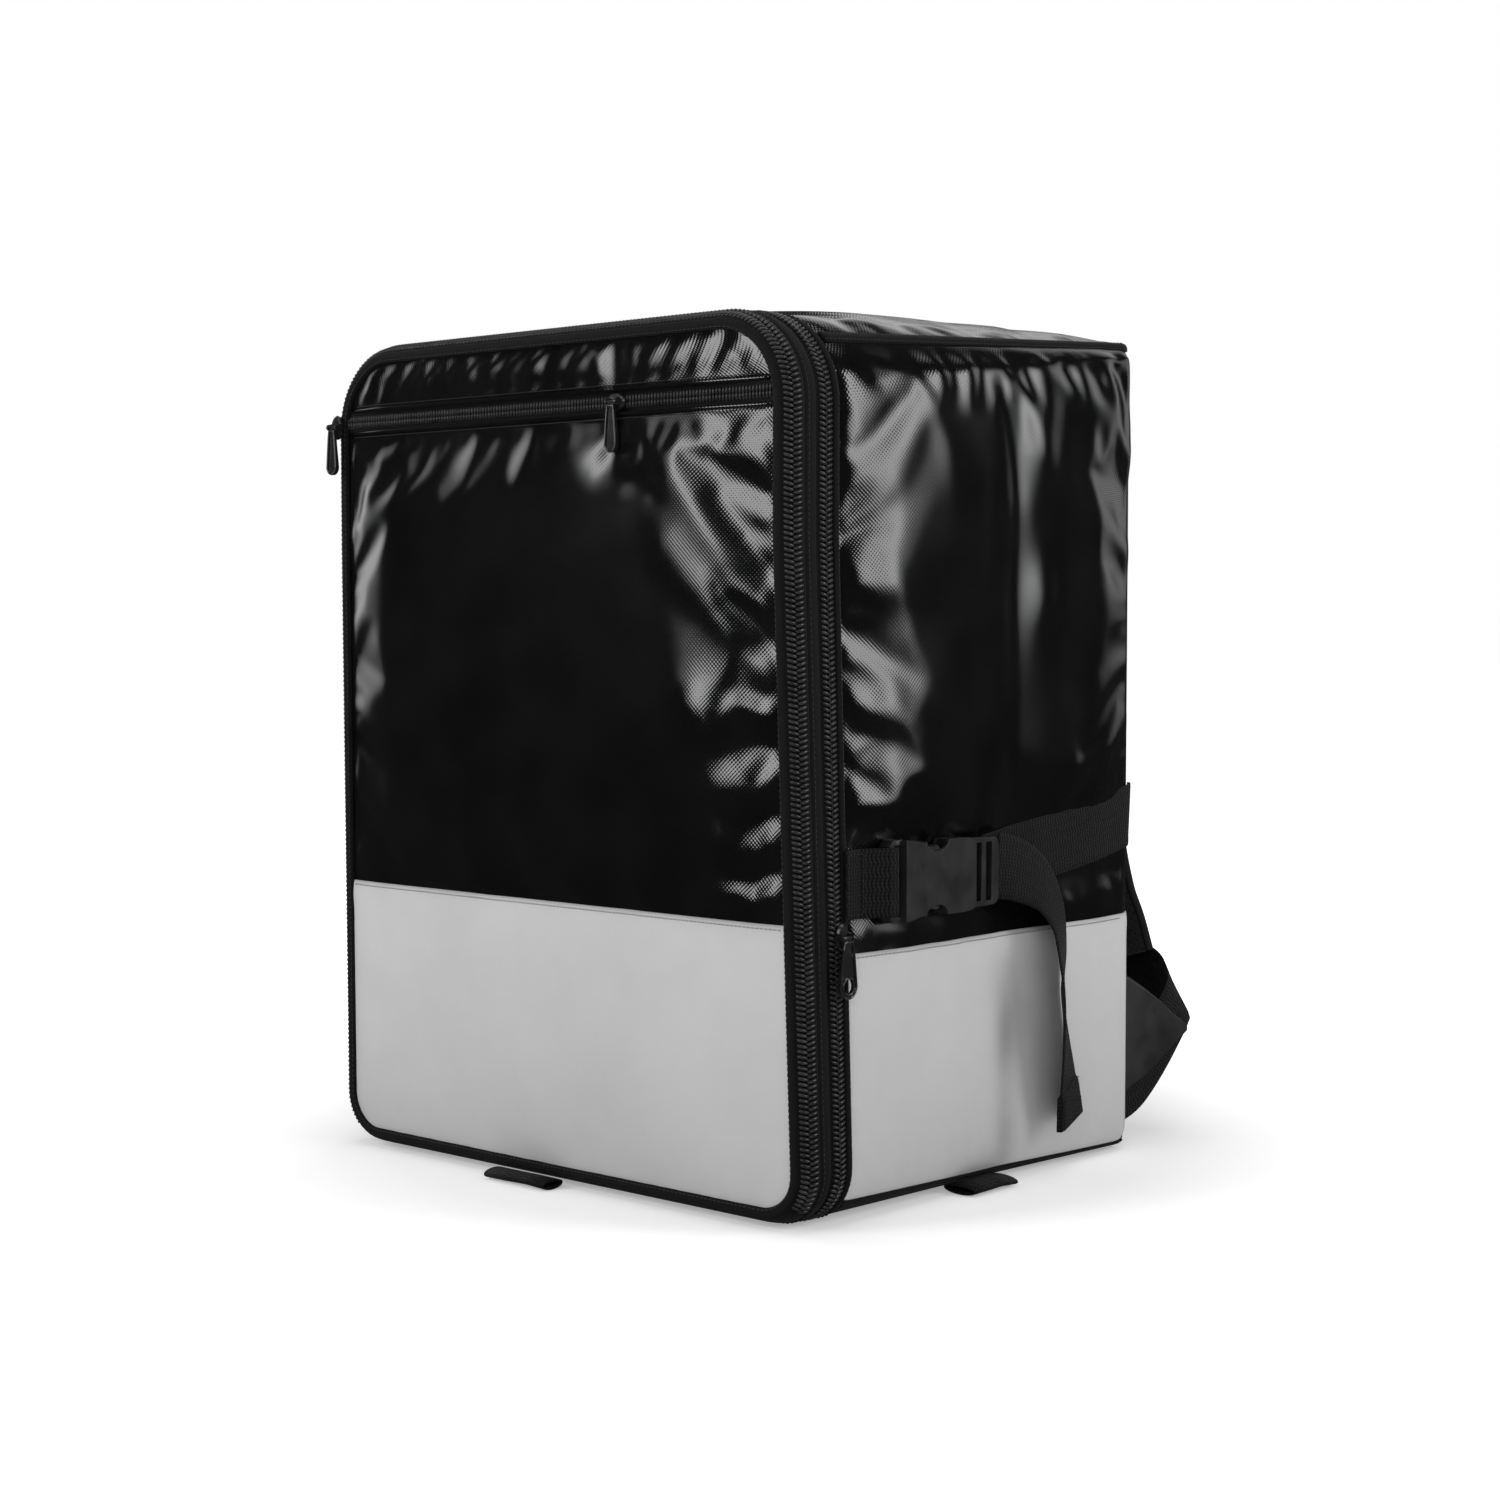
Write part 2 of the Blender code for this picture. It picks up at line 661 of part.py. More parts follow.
def ribbon(path, width, thick, rounding=0.0):
    """Rings along a path of (centre, across, normal). Thick may be a list, one for each centre."""
    rings = []
    for i, (centre, across, normal) in enumerate(path):
        t = (thick[i] if isinstance(thick, list) else thick) / 2
        w = width / 2
        if rounding:
            r = rounding
            corners = ((-w, -t + r), (-w + r, -t), (w - r, -t), (w, -t + r),
                       (w, t - r), (w - r, t), (-w + r, t), (-w, t - r))
        else:
            corners = ((-w, -t), (w, -t), (w, t), (-w, t))
        rings.append([centre + across * a + normal * n for a, n in corners])
    return rings


def framed(centres, acrosses):
    """Add the normal at each centre of a path, square to the path and to the across direction."""
    path = []
    for i, (centre, across) in enumerate(zip(centres, acrosses)):
        before = centres[max(i - 1, 0)]
        after = centres[min(i + 1, len(centres) - 1)]
        along = (after - before).normalized()
        across = (across - along * across.dot(along)).normalized()
        path.append((centre, across, across.cross(along).normalized()))
    return path


def smooth(points, steps):
    """A Catmull-Rom curve through points, with steps between each two."""
    ends = [2 * points[0] - points[1]] + list(points) + [2 * points[-1] - points[-2]]
    run = []
    for a, b, c, d in zip(ends, ends[1:], ends[2:], ends[3:]):
        for i in range(steps):
            t = i / steps
            run.append(0.5 * (2 * b + (c - a) * t + (2 * a - 5 * b + 4 * c - d) * t ** 2
                              + (3 * b - a - 3 * c + d) * t ** 3))
    return run + [points[-1]]


def side_frame():
    """The right side's outer distance where the buckle lies, the same for the whole buckle."""
    middle = BUCKLE_START + BUCKLE_FEMALE_LENGTH / 2
    return side_surface(middle, STRAP_Z)


def buckle_place(y, z, out):
    """A point of the buckle, out from the side. The buckle is rigid, so it shifts as one piece."""
    middle = Vector((side_frame(), BUCKLE_START + BUCKLE_FEMALE_LENGTH / 2, STRAP_Z))
    shift = settle(middle) - middle
    return Vector((side_frame() + out, y, z)) + shift


def arc_points(centre, radius_a, radius_b, start, end, steps):
    """Points on part of an ellipse, degrees from the +a axis."""
    run = []
    for i in range(steps + 1):
        angle = math.radians(mix(start, end, i / steps))
        run.append((centre[0] + radius_a * math.cos(angle), centre[1] + radius_b * math.sin(angle)))
    return run


def cut(target, cutter):
    """Cut one object out of another and keep the cutter only as a guide."""
    change = target.modifiers.new("cut_" + cutter.name, "BOOLEAN")
    change.operation = "DIFFERENCE"
    change.solver = "EXACT"
    change.object = cutter
    cutter.hide_render = True
    cutter.display_type = "WIRE"


def plate(points, out_near, out_far):
    """A flat piece of the buckle from (y, z) points, z measured from the strap's middle."""
    return prism(
        points,
        lambda y, z: buckle_place(y, STRAP_Z + z, out_near),
        lambda y, z: buckle_place(y, STRAP_Z + z, out_far),
    )


def buckle_female(carrier):
    """The socket: a flanged webbing slot, a body with two release windows and a hollow inside."""
    start, end = BUCKLE_START, BUCKLE_END
    body_start, window = BUCKLE_BODY_START, BUCKLE_WINDOW_Y
    upper = [(start, 0.86 * BUCKLE_FLANGE_HALF), (start + 0.003, BUCKLE_FLANGE_HALF),
             (body_start, BUCKLE_FLANGE_HALF)]
    upper.append((window - BUCKLE_WINDOW / 2, BUCKLE_BODY_HALF - 0.001))
    upper += arc_points((window, BUCKLE_BODY_HALF), BUCKLE_WINDOW / 2 - 0.001,
                        BUCKLE_WINDOW_DEPTH, 180, 360, 7)
    upper += [(end - 0.010, BUCKLE_BODY_HALF), (end - 0.002, BUCKLE_BODY_HALF - 0.001),
              (end, BUCKLE_BODY_HALF - 0.004)]
    points = upper + [(y, -z) for y, z in reversed(upper)]
    base, face = BUCKLE_STAND, BUCKLE_STAND + BUCKLE_THICK
    body = add_object("buckle_female_right", plate(points, base, face), "plastic", carrier)

    slot_half = BUCKLE_FLANGE_HALF - BUCKLE_RIM
    slot_start = start + BUCKLE_BAR
    slot = ((slot_start, -slot_half), (slot_start + BUCKLE_SLOT, -slot_half),
            (slot_start + BUCKLE_SLOT, slot_half), (slot_start, slot_half))
    slot_tool = add_object("guide_slot", plate(slot, base - 0.01, face + 0.01), "plastic", carrier)
    cut(body, slot_tool)

    # The flanged end is thinner than the body, so that the webbing lies flush round its bar
    thin = ((start - 0.01, -0.04), (slot_start + BUCKLE_SLOT, -0.04),
            (slot_start + BUCKLE_SLOT, 0.04), (start - 0.01, 0.04))
    thin_shape = plate(thin, base + BUCKLE_FLANGE_THICK, face + 0.01)
    thin_tool = add_object("guide_thin", thin_shape, "plastic", carrier)
    cut(body, thin_tool)

    hollow_start = body_start + BUCKLE_SHELL
    hollow_start_tall = window - BUCKLE_WINDOW / 2 + 0.001
    inner, outer = BUCKLE_HOLLOW_HALF, BUCKLE_FLANGE_HALF + 0.0075
    window_end = window + BUCKLE_WINDOW / 2 - 0.001
    upper = [(hollow_start, inner), (hollow_start_tall, inner), (hollow_start_tall, outer),
             (window_end, outer), (window_end, inner), (end + 0.01, inner)]
    hollow = upper + [(y, -z) for y, z in reversed(upper)]
    hollow_tool = add_object(
        "guide_hollow", plate(hollow, base + BUCKLE_SHELL, face - BUCKLE_SHELL), "plastic", carrier)
    cut(body, hollow_tool)
    return body


def buckle_male(carrier):
    """The plug: a ladder frame for the webbing and a forked tongue inside the socket."""
    end, window = BUCKLE_END, BUCKLE_WINDOW_Y
    far = end + BUCKLE_MALE_LENGTH
    half = BUCKLE_BODY_HALF - 0.0012
    base = BUCKLE_STAND + BUCKLE_SHELL + BUCKLE_PLAY
    face = BUCKLE_STAND + BUCKLE_THICK - BUCKLE_SHELL - BUCKLE_PLAY
    arm = BUCKLE_BODY_HALF - BUCKLE_ARM_INSET
    upper = [(window - 0.006, BUCKLE_ARM_INNER), (window - 0.0088, 2 * BUCKLE_ARM_INNER)]
    upper += [(window - 0.006, arm - 0.0010), (window + 0.0035, arm), (window + 0.0070, arm - 0.0035),
              (window + 0.0100, BUCKLE_ARM_OUTER), (end + GAP, BUCKLE_ARM_OUTER),
              (end + 0.0005, half - 0.002),
              (end + 0.0020, half), (far - 0.004, half - 0.0005), (far - 0.001, half - 0.002),
              (far, half - 0.005)]
    points = upper + [(y, -z) for y, z in reversed(upper)]
    body = add_object("buckle_male_right", plate(points, base, face), "plastic", carrier)
    slot_half = half - BUCKLE_RIM
    inner = end + BUCKLE_LADDER_START
    for name, slot_start in (("inner", inner), ("outer", inner + BUCKLE_LADDER_SLOT + BUCKLE_BAR)):
        slot_end = slot_start + BUCKLE_LADDER_SLOT
        slot = ((slot_start, -slot_half), (slot_end, -slot_half),
                (slot_end, slot_half), (slot_start, slot_half))
        tool = add_object("guide_" + name, plate(slot, base - 0.01, face + 0.01), "plastic", carrier)
        cut(body, tool)
    fork = ((window - 0.03, -0.0062), (window + 0.0100, -0.0062), (window + 0.0100, 0.0062),
            (window - 0.03, 0.0062))
    fork_tool = add_object("guide_fork", plate(fork, base - 0.01, face + 0.01), "plastic", carrier)
    cut(body, fork_tool)
    return body


def flat_strip(name, rows, finish, carrier):
    """Webbing lying along the side, from rows of (y, middle height, distance out)."""
    outer = []
    inner = []
    for edge in (-0.5, 0.5):
        outer.append([on_side(y, z + edge * WEB_WIDTH, out + WEB_THICK) for y, z, out in rows])
        inner.append([on_side(y, z + edge * WEB_WIDTH, out) for y, z, out in rows])
    return add_object(name, quilt(outer, inner), finish, carrier)


def compression_strap(carrier):
    """The strap across a side: webbing from the front edge, buckle, webbing to the rear edge."""
    front_end = BUCKLE_START + BUCKLE_BAR / 2
    seat = settle(Vector((side_surface(BUCKLE_START, STRAP_Z), BUCKLE_START, STRAP_Z)))
    lift = buckle_place(BUCKLE_START, STRAP_Z, BUCKLE_STAND + BUCKLE_WEB_LIFT).x - seat.x
    front_rows = (
        (PANEL_STEP + 0.001, STRAP_Z, 2 * GAP), (PANEL_STEP + BUCKLE_WEB_FLAT, STRAP_Z, 2 * GAP),
        (BUCKLE_START - BUCKLE_WEB_RUN, STRAP_Z, 0.0030), (BUCKLE_START - 0.001, STRAP_Z, lift),
        (front_end + BUCKLE_BAR / 2, STRAP_Z, lift),
    )
    pieces = [flat_strip("front_webbing_right", front_rows, "webbing", carrier)]
    bar_end = BUCKLE_END + BUCKLE_MALE_LENGTH
    rear_rows = [(bar_end - 0.0005, STRAP_Z + 0.0006, 2 * GAP)]
    for y, inset in panel_sections():
        if bar_end < y < DEPTH:
            share = (y - bar_end) / (DEPTH - bar_end)
            rear_rows.append((y, STRAP_Z + REAR_WEB_RISE * share ** 1.15, 2 * GAP))
    pieces.append(flat_strip("rear_webbing_right", rear_rows, "webbing", carrier))
    pieces.append(strap_tail(bar_end + TAIL_CLEAR, carrier))
    pieces.append(buckle_female(carrier))
    pieces.append(buckle_male(carrier))
    for piece in pieces:
        left = mirrored(piece.name.replace("_right", "_left"), piece,
                        piece.data.materials[0].name, carrier)
        for change in piece.modifiers:
            tool = change.object
            twin = mirrored(tool.name + "_left", tool, "plastic", carrier)
            cut(left, twin)


# The hanging strap tail: share of its reach, of its standing out and of its drop, then twist in degrees
TAIL = (
    (0.00, 0.42, 0.00, 0),
    (0.24, 0.62, 0.02, -8),
    (0.53, 0.86, 0.08, -18),
    (0.73, 1.00, 0.20, -25),
    (0.80, 1.04, 0.35, -30),
    (0.81, 1.06, 0.52, -38),
    (0.87, 0.98, 0.70, -31),
    (0.94, 0.84, 0.86, -22),
    (1.00, 0.74, 1.00, -15),
)


def strap_tail(start, carrier):
    """The loose end of the strap: it leaves the buckle, turns over and hangs with a folded tip."""
    places = []
    twists = []
    for reach, out, drop, twist in TAIL:
        y = start + TAIL_REACH * reach
        z = STRAP_Z + 0.002 - TAIL_DROP * drop
        places.append(Vector((side_frame() + TAIL_OUT * out, y, z)))
        twists.append(Vector((float(twist), 0.0, 0.0)))
    centres = [settle(p) for p in smooth(places, 2)]
    angles = [math.radians(v.x) for v in smooth(twists, 2)]
    acrosses = []
    for i, angle in enumerate(angles):
        along = centres[min(i + 1, len(centres) - 1)] - centres[max(i - 1, 0)]
        along.normalize()
        flat = along.cross(Vector((1, 0, 0))).normalized()
        acrosses.append(flat * math.cos(angle) + along.cross(flat).normalized() * math.sin(angle))
    length = 0.0
    thick = []
    for before, after in zip(centres, centres[1:]):
        length += (after - before).length
    done = 0.0
    for i, centre in enumerate(centres):
        done += (centre - centres[i - 1]).length if i else 0.0
        thick.append(WEB_THICK * (2.2 if length - done < TAIL_FOLD else 1.0))
    path = framed(centres, acrosses)
    return add_object("strap_tail_right", skin(ribbon(path, WEB_WIDTH, thick)), "webbing", carrier)


# A shoulder strap: share of its drop, of its standing off the back, of its spread
SHOULDER = (
    (0.00, 0.03, 0.00),
    (0.06, 0.30, 0.08),
    (0.16, 0.70, 0.22),
    (0.32, 0.89, 0.34),
    (0.50, 0.94, 0.44),
    (0.66, 0.93, 0.46),
    (0.78, 0.93, 0.51),
    (0.88, 0.95, 0.68),
    (0.94, 0.98, 0.86),
    (1.00, 1.01, 1.00),
)


def shoulder_straps(carrier):
    base = PAD_FACE + GAP + SHOULDER_THICK / 2
    places = []
    for drop, stand, spread in SHOULDER:
        places.append(Vector((
            SHOULDER_ROOT_X + SHOULDER_SPREAD * spread,
            base + SHOULDER_STAND * stand,
            SHOULDER_ROOT_Z - SHOULDER_DROP * drop,
        )))
    centres = smooth(places, 2)
    path = framed(centres, [Vector((1, 0, 0))] * len(centres))
    rings = ribbon(path, SHOULDER_WIDTH, SHOULDER_THICK, SHOULDER_THICK * 0.3)
    right = add_object("shoulder_strap_right", skin(rings), "mesh", carrier)
    mirrored("shoulder_strap_left", right, "mesh", carrier)
    foot_webbing(places[-1], carrier)


# The webbing at a strap's foot: share of the way back to the strap, of the way across to it,
# of the rise, and degrees that its width turns back from upright
FOOT_WEBBING = (
    (0.000, 0.000, 0.000, 0),
    (0.100, 0.000, 0.000, 0),
    (0.288, 0.000, 0.080, 14.5),
    (0.526, 0.000, 0.283, 33.5),
    (0.751, 0.000, 0.529, 41.3),
    (0.902, 0.020, 0.696, 41.3),
    (0.994, 0.119, 0.771, 39.7),
    (1.025, 0.356, 0.841, 24.8),
    (1.012, 0.673, 0.935, 5.8),
    (1.000, 1.000, 1.000, 0),
)


def foot_webbing(strap_end, carrier):
    """Webbing from the bag's lower rear corner, up behind the wing and over to the strap's end."""
    stand = SHOULDER_THICK / 2 + WEB_THICK / 2 + FOOT_WEB_CLEAR
    near = Vector((HALF - FOOT_WEB_INSET, DEPTH + 2 * GAP, FOOT_WEB_START))
    far = Vector((strap_end.x, strap_end.y + stand, strap_end.z - FOOT_WEB_TUCK))
    centres = []
    across = []
    for back, side, rise, degrees in FOOT_WEBBING:
        centres.append(Vector((mix(near.x, far.x, side), mix(near.y, far.y, back), mix(near.z, far.z, rise))))
        turn = math.radians(degrees)
        across.append(Vector((0, math.sin(turn), -math.cos(turn))))
    path = framed(centres, across)
    rings = ribbon(path, WEB_WIDTH, WEB_THICK)
    right = add_object("foot_webbing_right", skin(rings), "webbing", carrier)
    mirrored("foot_webbing_left", right, "webbing", carrier)


def corner_wings(carrier):
    """The sewn triangle at each lower rear corner, which the foot webbing comes from."""
    rear = DEPTH + 2 * GAP
    half = WING_THICK / 2
    rings = []
    for share in (0.0, 0.35, 0.7, 1.0):
        x = HALF - WING_INSET - WING_LEAN * share
        y = rear + WING_REACH * share
        top = mix(WING_TOP, WING_TIP_Z + WING_TIP_HALF, share)
        foot = mix(WING_FOOT, WING_TIP_Z - WING_TIP_HALF, share)
        rings.append([Vector((x - half, y, foot)), Vector((x + half, y, foot)),
                      Vector((x + half, y, top)), Vector((x - half, y, top))])
    right = add_object("corner_wing_right", skin(rings), "vinyl", carrier)
    mirrored("corner_wing_left", right, "vinyl", carrier)


def foot_loop(name, root, outward, along, length, width, carrier):
    """A loop of webbing lying on the floor, sewn in under the foot of the bag."""
    steps = 12
    rings = []
    for i in range(steps):
        angle = 2 * math.pi * i / steps
        ring = []
        for a, n in ((-0.5, 0), (0.5, 0), (0.5, 1), (-0.5, 1)):
            out = (length / 2 - LOOP_WEB * n) * math.cos(angle) + length / 2
            up = (LOOP_HEIGHT / 2 - LOOP_WEB * n) * math.sin(angle) + LOOP_HEIGHT / 2
            ring.append(root + outward * out + along * (a * width) + Vector((0, 0, up)))
        rings.append(ring)
    return add_object(name, skin(rings, closed=True), "webbing", carrier)


def foot_loops(carrier):
    root = on_side(SIDE_LOOP_Y, 0.74 * LOOP_HEIGHT, GAP)
    root.z = GAP
    right = foot_loop("side_loop_right", root, Vector((1, 0, 0)), Vector((0, 1, 0)),
                      LOOP_LENGTH, SIDE_LOOP_WIDTH, carrier)
    mirrored("side_loop_left", right, "webbing", carrier)
    front = settle(Vector((FRONT_LOOP_X, -BINDING_PROUD, 0.0)))
    foot_loop("front_loop", Vector((FRONT_LOOP_X, front.y - GAP, GAP)), Vector((0, -1, 0)),
              Vector((1, 0, 0)), FRONT_LOOP_LENGTH, FRONT_LOOP_WIDTH, carrier)


def slider(name, place, turn, wide, high, carrier):
    """A zip slider: a domed body with two ears that carry the pull. Local +Y points out."""
    body = arc_points((0, 0), wide / 2, high / 2, 0, 360, 12)[:-1]
    rings = []
    for out, share in ((0, 0.94), (SLIDER_THICK * 0.6, 1.0), (SLIDER_THICK, 0.86)):
        rings.append([Vector((a * share, out, b * share)) for a, b in body])
    made = add_object(name, skin(rings), "metal", carrier, place)
    made.rotation_euler = (0, 0, turn)
    return made


def ears(name, place, turn, half, carrier):
    """Two ears and the pin between them, one solid joined to the slider."""
    bm = bmesh.new()
    for side in (-1, 1):
        near = side * half
        far = side * (half + EAR_THICK)
        shape = [(-EAR_HALF, SLIDER_THICK * 0.5), (EAR_HALF, SLIDER_THICK * 0.5)]
        shape += arc_points((0, EAR_HEIGHT + SLIDER_THICK - EAR_ROUND), EAR_ROUND, EAR_ROUND, 20, 160, 5)
        near_ring = [bm.verts.new((near, out, up)) for up, out in shape]
        far_ring = [bm.verts.new((far, out, up)) for up, out in shape]
        count = len(shape)
        for i in range(count):
            j = (i + 1) % count
            bm.faces.new((near_ring[i], near_ring[j], far_ring[j], far_ring[i]))
        bm.faces.new(near_ring)
        bm.faces.new(far_ring)
    made = add_object(name, bm, "metal", carrier, place)
    made.rotation_euler = (0, 0, turn)
    return made


def join_to(target, other):
    """Fuse another solid into this one and keep it only as a guide."""
    change = target.modifiers.new("fuse_" + other.name, "BOOLEAN")
    change.operation = "UNION"
    change.solver = "EXACT"
    change.object = other
    other.hide_render = True
    other.display_type = "WIRE"


def pull(name, place, turn, top, width, length, hole, carrier):
    """A zip pull hanging from its barrel. Its origin is on the hinge axis, along local X."""
    half = PULL_THICK / 2
    shape = [(-top / 2, 0.0004), (-top / 2 * 1.02, -0.25 * length)]
    shape += arc_points((0, -length + width / 2), width / 2, width / 2, 180, 360, 10)
    shape += [(top / 2 * 1.02, -0.25 * length), (top / 2, 0.0004)]
    tab = skin([[Vector((a, -half, b)) for a, b in shape], [Vector((a, half, b)) for a, b in shape]])
    made = add_object(name, tab, "metal", carrier, place)
    made.rotation_euler = (0, 0, turn)
    barrel_ring = arc_points((0, 0), PIN_RADIUS, PIN_RADIUS, 0, 360, 10)[:-1]
    barrel = skin([
        [Vector((side * (top / 2 + GAP), a, b)) for a, b in barrel_ring] for side in (-1, 1)
    ])
    barrel_tool = add_object("guide_barrel_" + name, barrel, "metal", carrier, place)
    barrel_tool.rotation_euler = (0, 0, turn)
    join_to(made, barrel_tool)
    if hole:
        ring = arc_points((0, -length + width / 2), hole / 2, hole / 2, 0, 360, 14)[:-1]
        tool_mesh = skin([[Vector((a, side * 0.01, b)) for a, b in ring] for side in (-1, 1)])
        tool = add_object("guide_hole_" + name, tool_mesh, "metal", carrier, place)
        tool.rotation_euler = (0, 0, turn)
        cut(made, tool)
    return made


def zip_hardware(carrier):
    """The three zip sliders, each with its hanging pull."""
    rise = SLIDER_THICK + EAR_HEIGHT - EAR_ROUND
    zip_middle = POCKET_ZIP_BOTTOM + POCKET_ZIP_HEIGHT / 2
    expansion_y = (EXPANSION_START + EXPANSION_END) / 2 + SIDE_SLIDER_BACK
    across, along = (SLIDER_LENGTH, SLIDER_WIDTH), (SLIDER_WIDTH, SLIDER_LENGTH)
    places = (
        ("pocket", Vector((POCKET_SLIDER_X, DOOR_FACE - GAP - ZIP_STACK - GAP, zip_middle)), 180, across,
         POCKET_PULL_TOP, POCKET_PULL_WIDTH, POCKET_PULL_LENGTH, 0.0),
        ("expansion", Vector((HALF + GAP, expansion_y, SIDE_SLIDER_Z)), -90, along,
         SIDE_PULL_TOP, SIDE_PULL_WIDTH, SIDE_PULL_LENGTH, SIDE_PULL_HOLE),
        ("door", Vector((-HALF + DOOR_SLIDER_INSET, -BINDING_PROUD - GAP, DOOR_SLIDER_Z)), 180, along,
         POCKET_PULL_TOP, POCKET_PULL_WIDTH, DOOR_PULL_LENGTH, 0.0),
    )
    for name, place, degrees, body_size, top, width, length, hole in places:
        turn = math.radians(degrees)
        spot = settle(place)
        body = slider(name + "_slider", spot, turn, *body_size, carrier)
        pair = ears("guide_ears_" + name, spot, turn, top / 2 + 2 * GAP, carrier)
        join_to(body, pair)
        hinge = spot + Matrix.Rotation(turn, 3, "Z") @ Vector((0, rise, 0))
        pull(name + "_pull", hinge, turn, top, width, length, hole, carrier)


def centre_on_box(carrier):
    """Set the whole bag so that the bottom centre of its box is the origin."""
    bpy.context.view_layer.update()
    low = Vector((1e9, 1e9, 1e9))
    high = -low
    for piece in bpy.data.objects:
        if piece.type != "MESH" or piece.hide_render:
            continue
        for vertex in piece.data.vertices:
            at = piece.matrix_world @ vertex.co
            low = Vector(map(min, low, at))
            high = Vector(map(max, high, at))
    carrier.location = (-(low.x + high.x) / 2, -(low.y + high.y) / 2, -low.z)
    bpy.context.view_layer.update()


def main():
    clear_scene()
    carrier = bpy.data.objects.new("backpack", None)
    bpy.context.collection.objects.link(carrier)
    main_panels(carrier)
    back_padding(carrier)
    door(carrier)
    front_covers(carrier)
    side_band(carrier)
    top_seam(carrier)
    compression_strap(carrier)
    shoulder_straps(carrier)
    corner_wings(carrier)
    foot_loops(carrier)
    zip_hardware(carrier)
    centre_on_box(carrier)


main()
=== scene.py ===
"""Looks of the insulated delivery backpack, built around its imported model.

Metres. The bag's own frame has y = 0 at the door's face, and world() brings it to the row's frame.
"""
import math

import bmesh
import bpy
import numpy as np
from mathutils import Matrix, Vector

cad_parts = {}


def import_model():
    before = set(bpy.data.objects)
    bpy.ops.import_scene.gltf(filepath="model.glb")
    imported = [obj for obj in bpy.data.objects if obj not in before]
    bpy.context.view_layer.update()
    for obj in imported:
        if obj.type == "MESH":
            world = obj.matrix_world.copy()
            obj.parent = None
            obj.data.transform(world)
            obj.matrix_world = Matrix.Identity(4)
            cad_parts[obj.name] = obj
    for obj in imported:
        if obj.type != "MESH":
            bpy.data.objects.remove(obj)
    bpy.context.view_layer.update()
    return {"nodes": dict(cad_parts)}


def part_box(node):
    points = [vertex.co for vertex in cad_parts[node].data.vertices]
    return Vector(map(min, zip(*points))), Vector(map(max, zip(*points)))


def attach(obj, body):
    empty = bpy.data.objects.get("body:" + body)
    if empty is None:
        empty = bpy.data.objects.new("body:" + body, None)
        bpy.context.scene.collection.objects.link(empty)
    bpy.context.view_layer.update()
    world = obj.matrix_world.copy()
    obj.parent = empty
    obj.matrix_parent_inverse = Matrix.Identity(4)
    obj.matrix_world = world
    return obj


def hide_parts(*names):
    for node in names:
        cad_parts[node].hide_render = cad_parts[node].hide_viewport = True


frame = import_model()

# Sizes of the solids, as the part's source has them
HALF = 0.1855
DEPTH = 0.3173
HEIGHT = 0.491
REAR_RISE = 0.004
CROWN = 0.014
SIDE_BULGE = 0.003
FRONT_TOP_RADIUS = 0.050
FRONT_LOW_RADIUS = 0.032
REAR_RADIUS = 0.015
REAR_ROUND = 0.012
REAR_INSET = 0.006
BASE_TUCK = 0.001
SETTLE_TOP = 0.37
SETTLE_REACH = 0.20
SPREAD_FOOT = 0.007
LEAN_FOOT = 0.008
BINDING_WIDTH = 0.0092
BINDING_PROUD = 0.0015
PANEL_START = 0.0408
BAND_FRONT = 0.165
BAND_SIDE = 0.147
ZIP_LOW = 0.4385
ZIP_HIGH = 0.453
PAD_SEAT = DEPTH + 0.0003
PAD_THICK = 0.012
PAD_FACE = PAD_SEAT + PAD_THICK
WEB_WIDTH = 0.0375
WEB_THICK = 0.0018
STRAP_Z = 0.1845
STRAP_SLOPE = 0.07
BUCKLE_START = 0.0660
BUCKLE_LENGTH = 0.0725
BUCKLE_PLUG = 0.0240
BUCKLE_MIDDLE = BUCKLE_START + BUCKLE_LENGTH / 2
BUCKLE_FAR = BUCKLE_START + BUCKLE_LENGTH + BUCKLE_PLUG
# Share of the depth, and the shares of the crown and of the sides' bulge there
BODY = (
    (0.1286, 0.0, 0.0), (0.26, 0.45, 0.80), (0.38, 0.80, 1.00), (0.50, 1.00, 0.45),
    (0.60, 1.00, -0.25), (0.70, 1.00, 0.45), (0.84, 1.00, 1.00), (1.0, 0.85, 0.0),
)
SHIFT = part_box("door_binding")[0].y + BINDING_PROUD


def clip01(value):
    return np.clip(value, 0.0, 1.0)


def bell(value, width):
    return np.exp(-(value / width) ** 2)


def ramp(distance, width):
    """A smooth rise from 0 to 1 over a width."""
    return 0.5 - 0.5 * np.cos(math.pi * clip01(distance / width))


def unit(vectors):
    return vectors / (np.linalg.norm(vectors, axis=-1, keepdims=True) + 1e-12)


def ring_angles(count):
    return np.linspace(0, 2 * math.pi, count + 1)[:-1]


def spline(a, b, c, d, t):
    """A point between b and c on a Catmull-Rom line."""
    return 0.5 * (2 * b + (c - a) * t + (2 * a - 5 * b + 4 * c - d) * t ** 2
                  + (3 * b - a - 3 * c + d) * t ** 3)


def settle(points):
    """Spread and push back the front foot, as the loaded bag does."""
    points = np.array(points, float)
    low = clip01((SETTLE_TOP - points[..., 2]) / SETTLE_TOP)
    front = clip01(1.0 - points[..., 1] / SETTLE_REACH)
    points[..., 0] += SPREAD_FOOT * low * front * points[..., 0] / HALF
    points[..., 1] += LEAN_FOOT * low * front
    return points


def world(points, settled=True):
    points = settle(points) if settled else np.array(points, float)
    points[..., 1] += SHIFT
    return points


# Camera and light

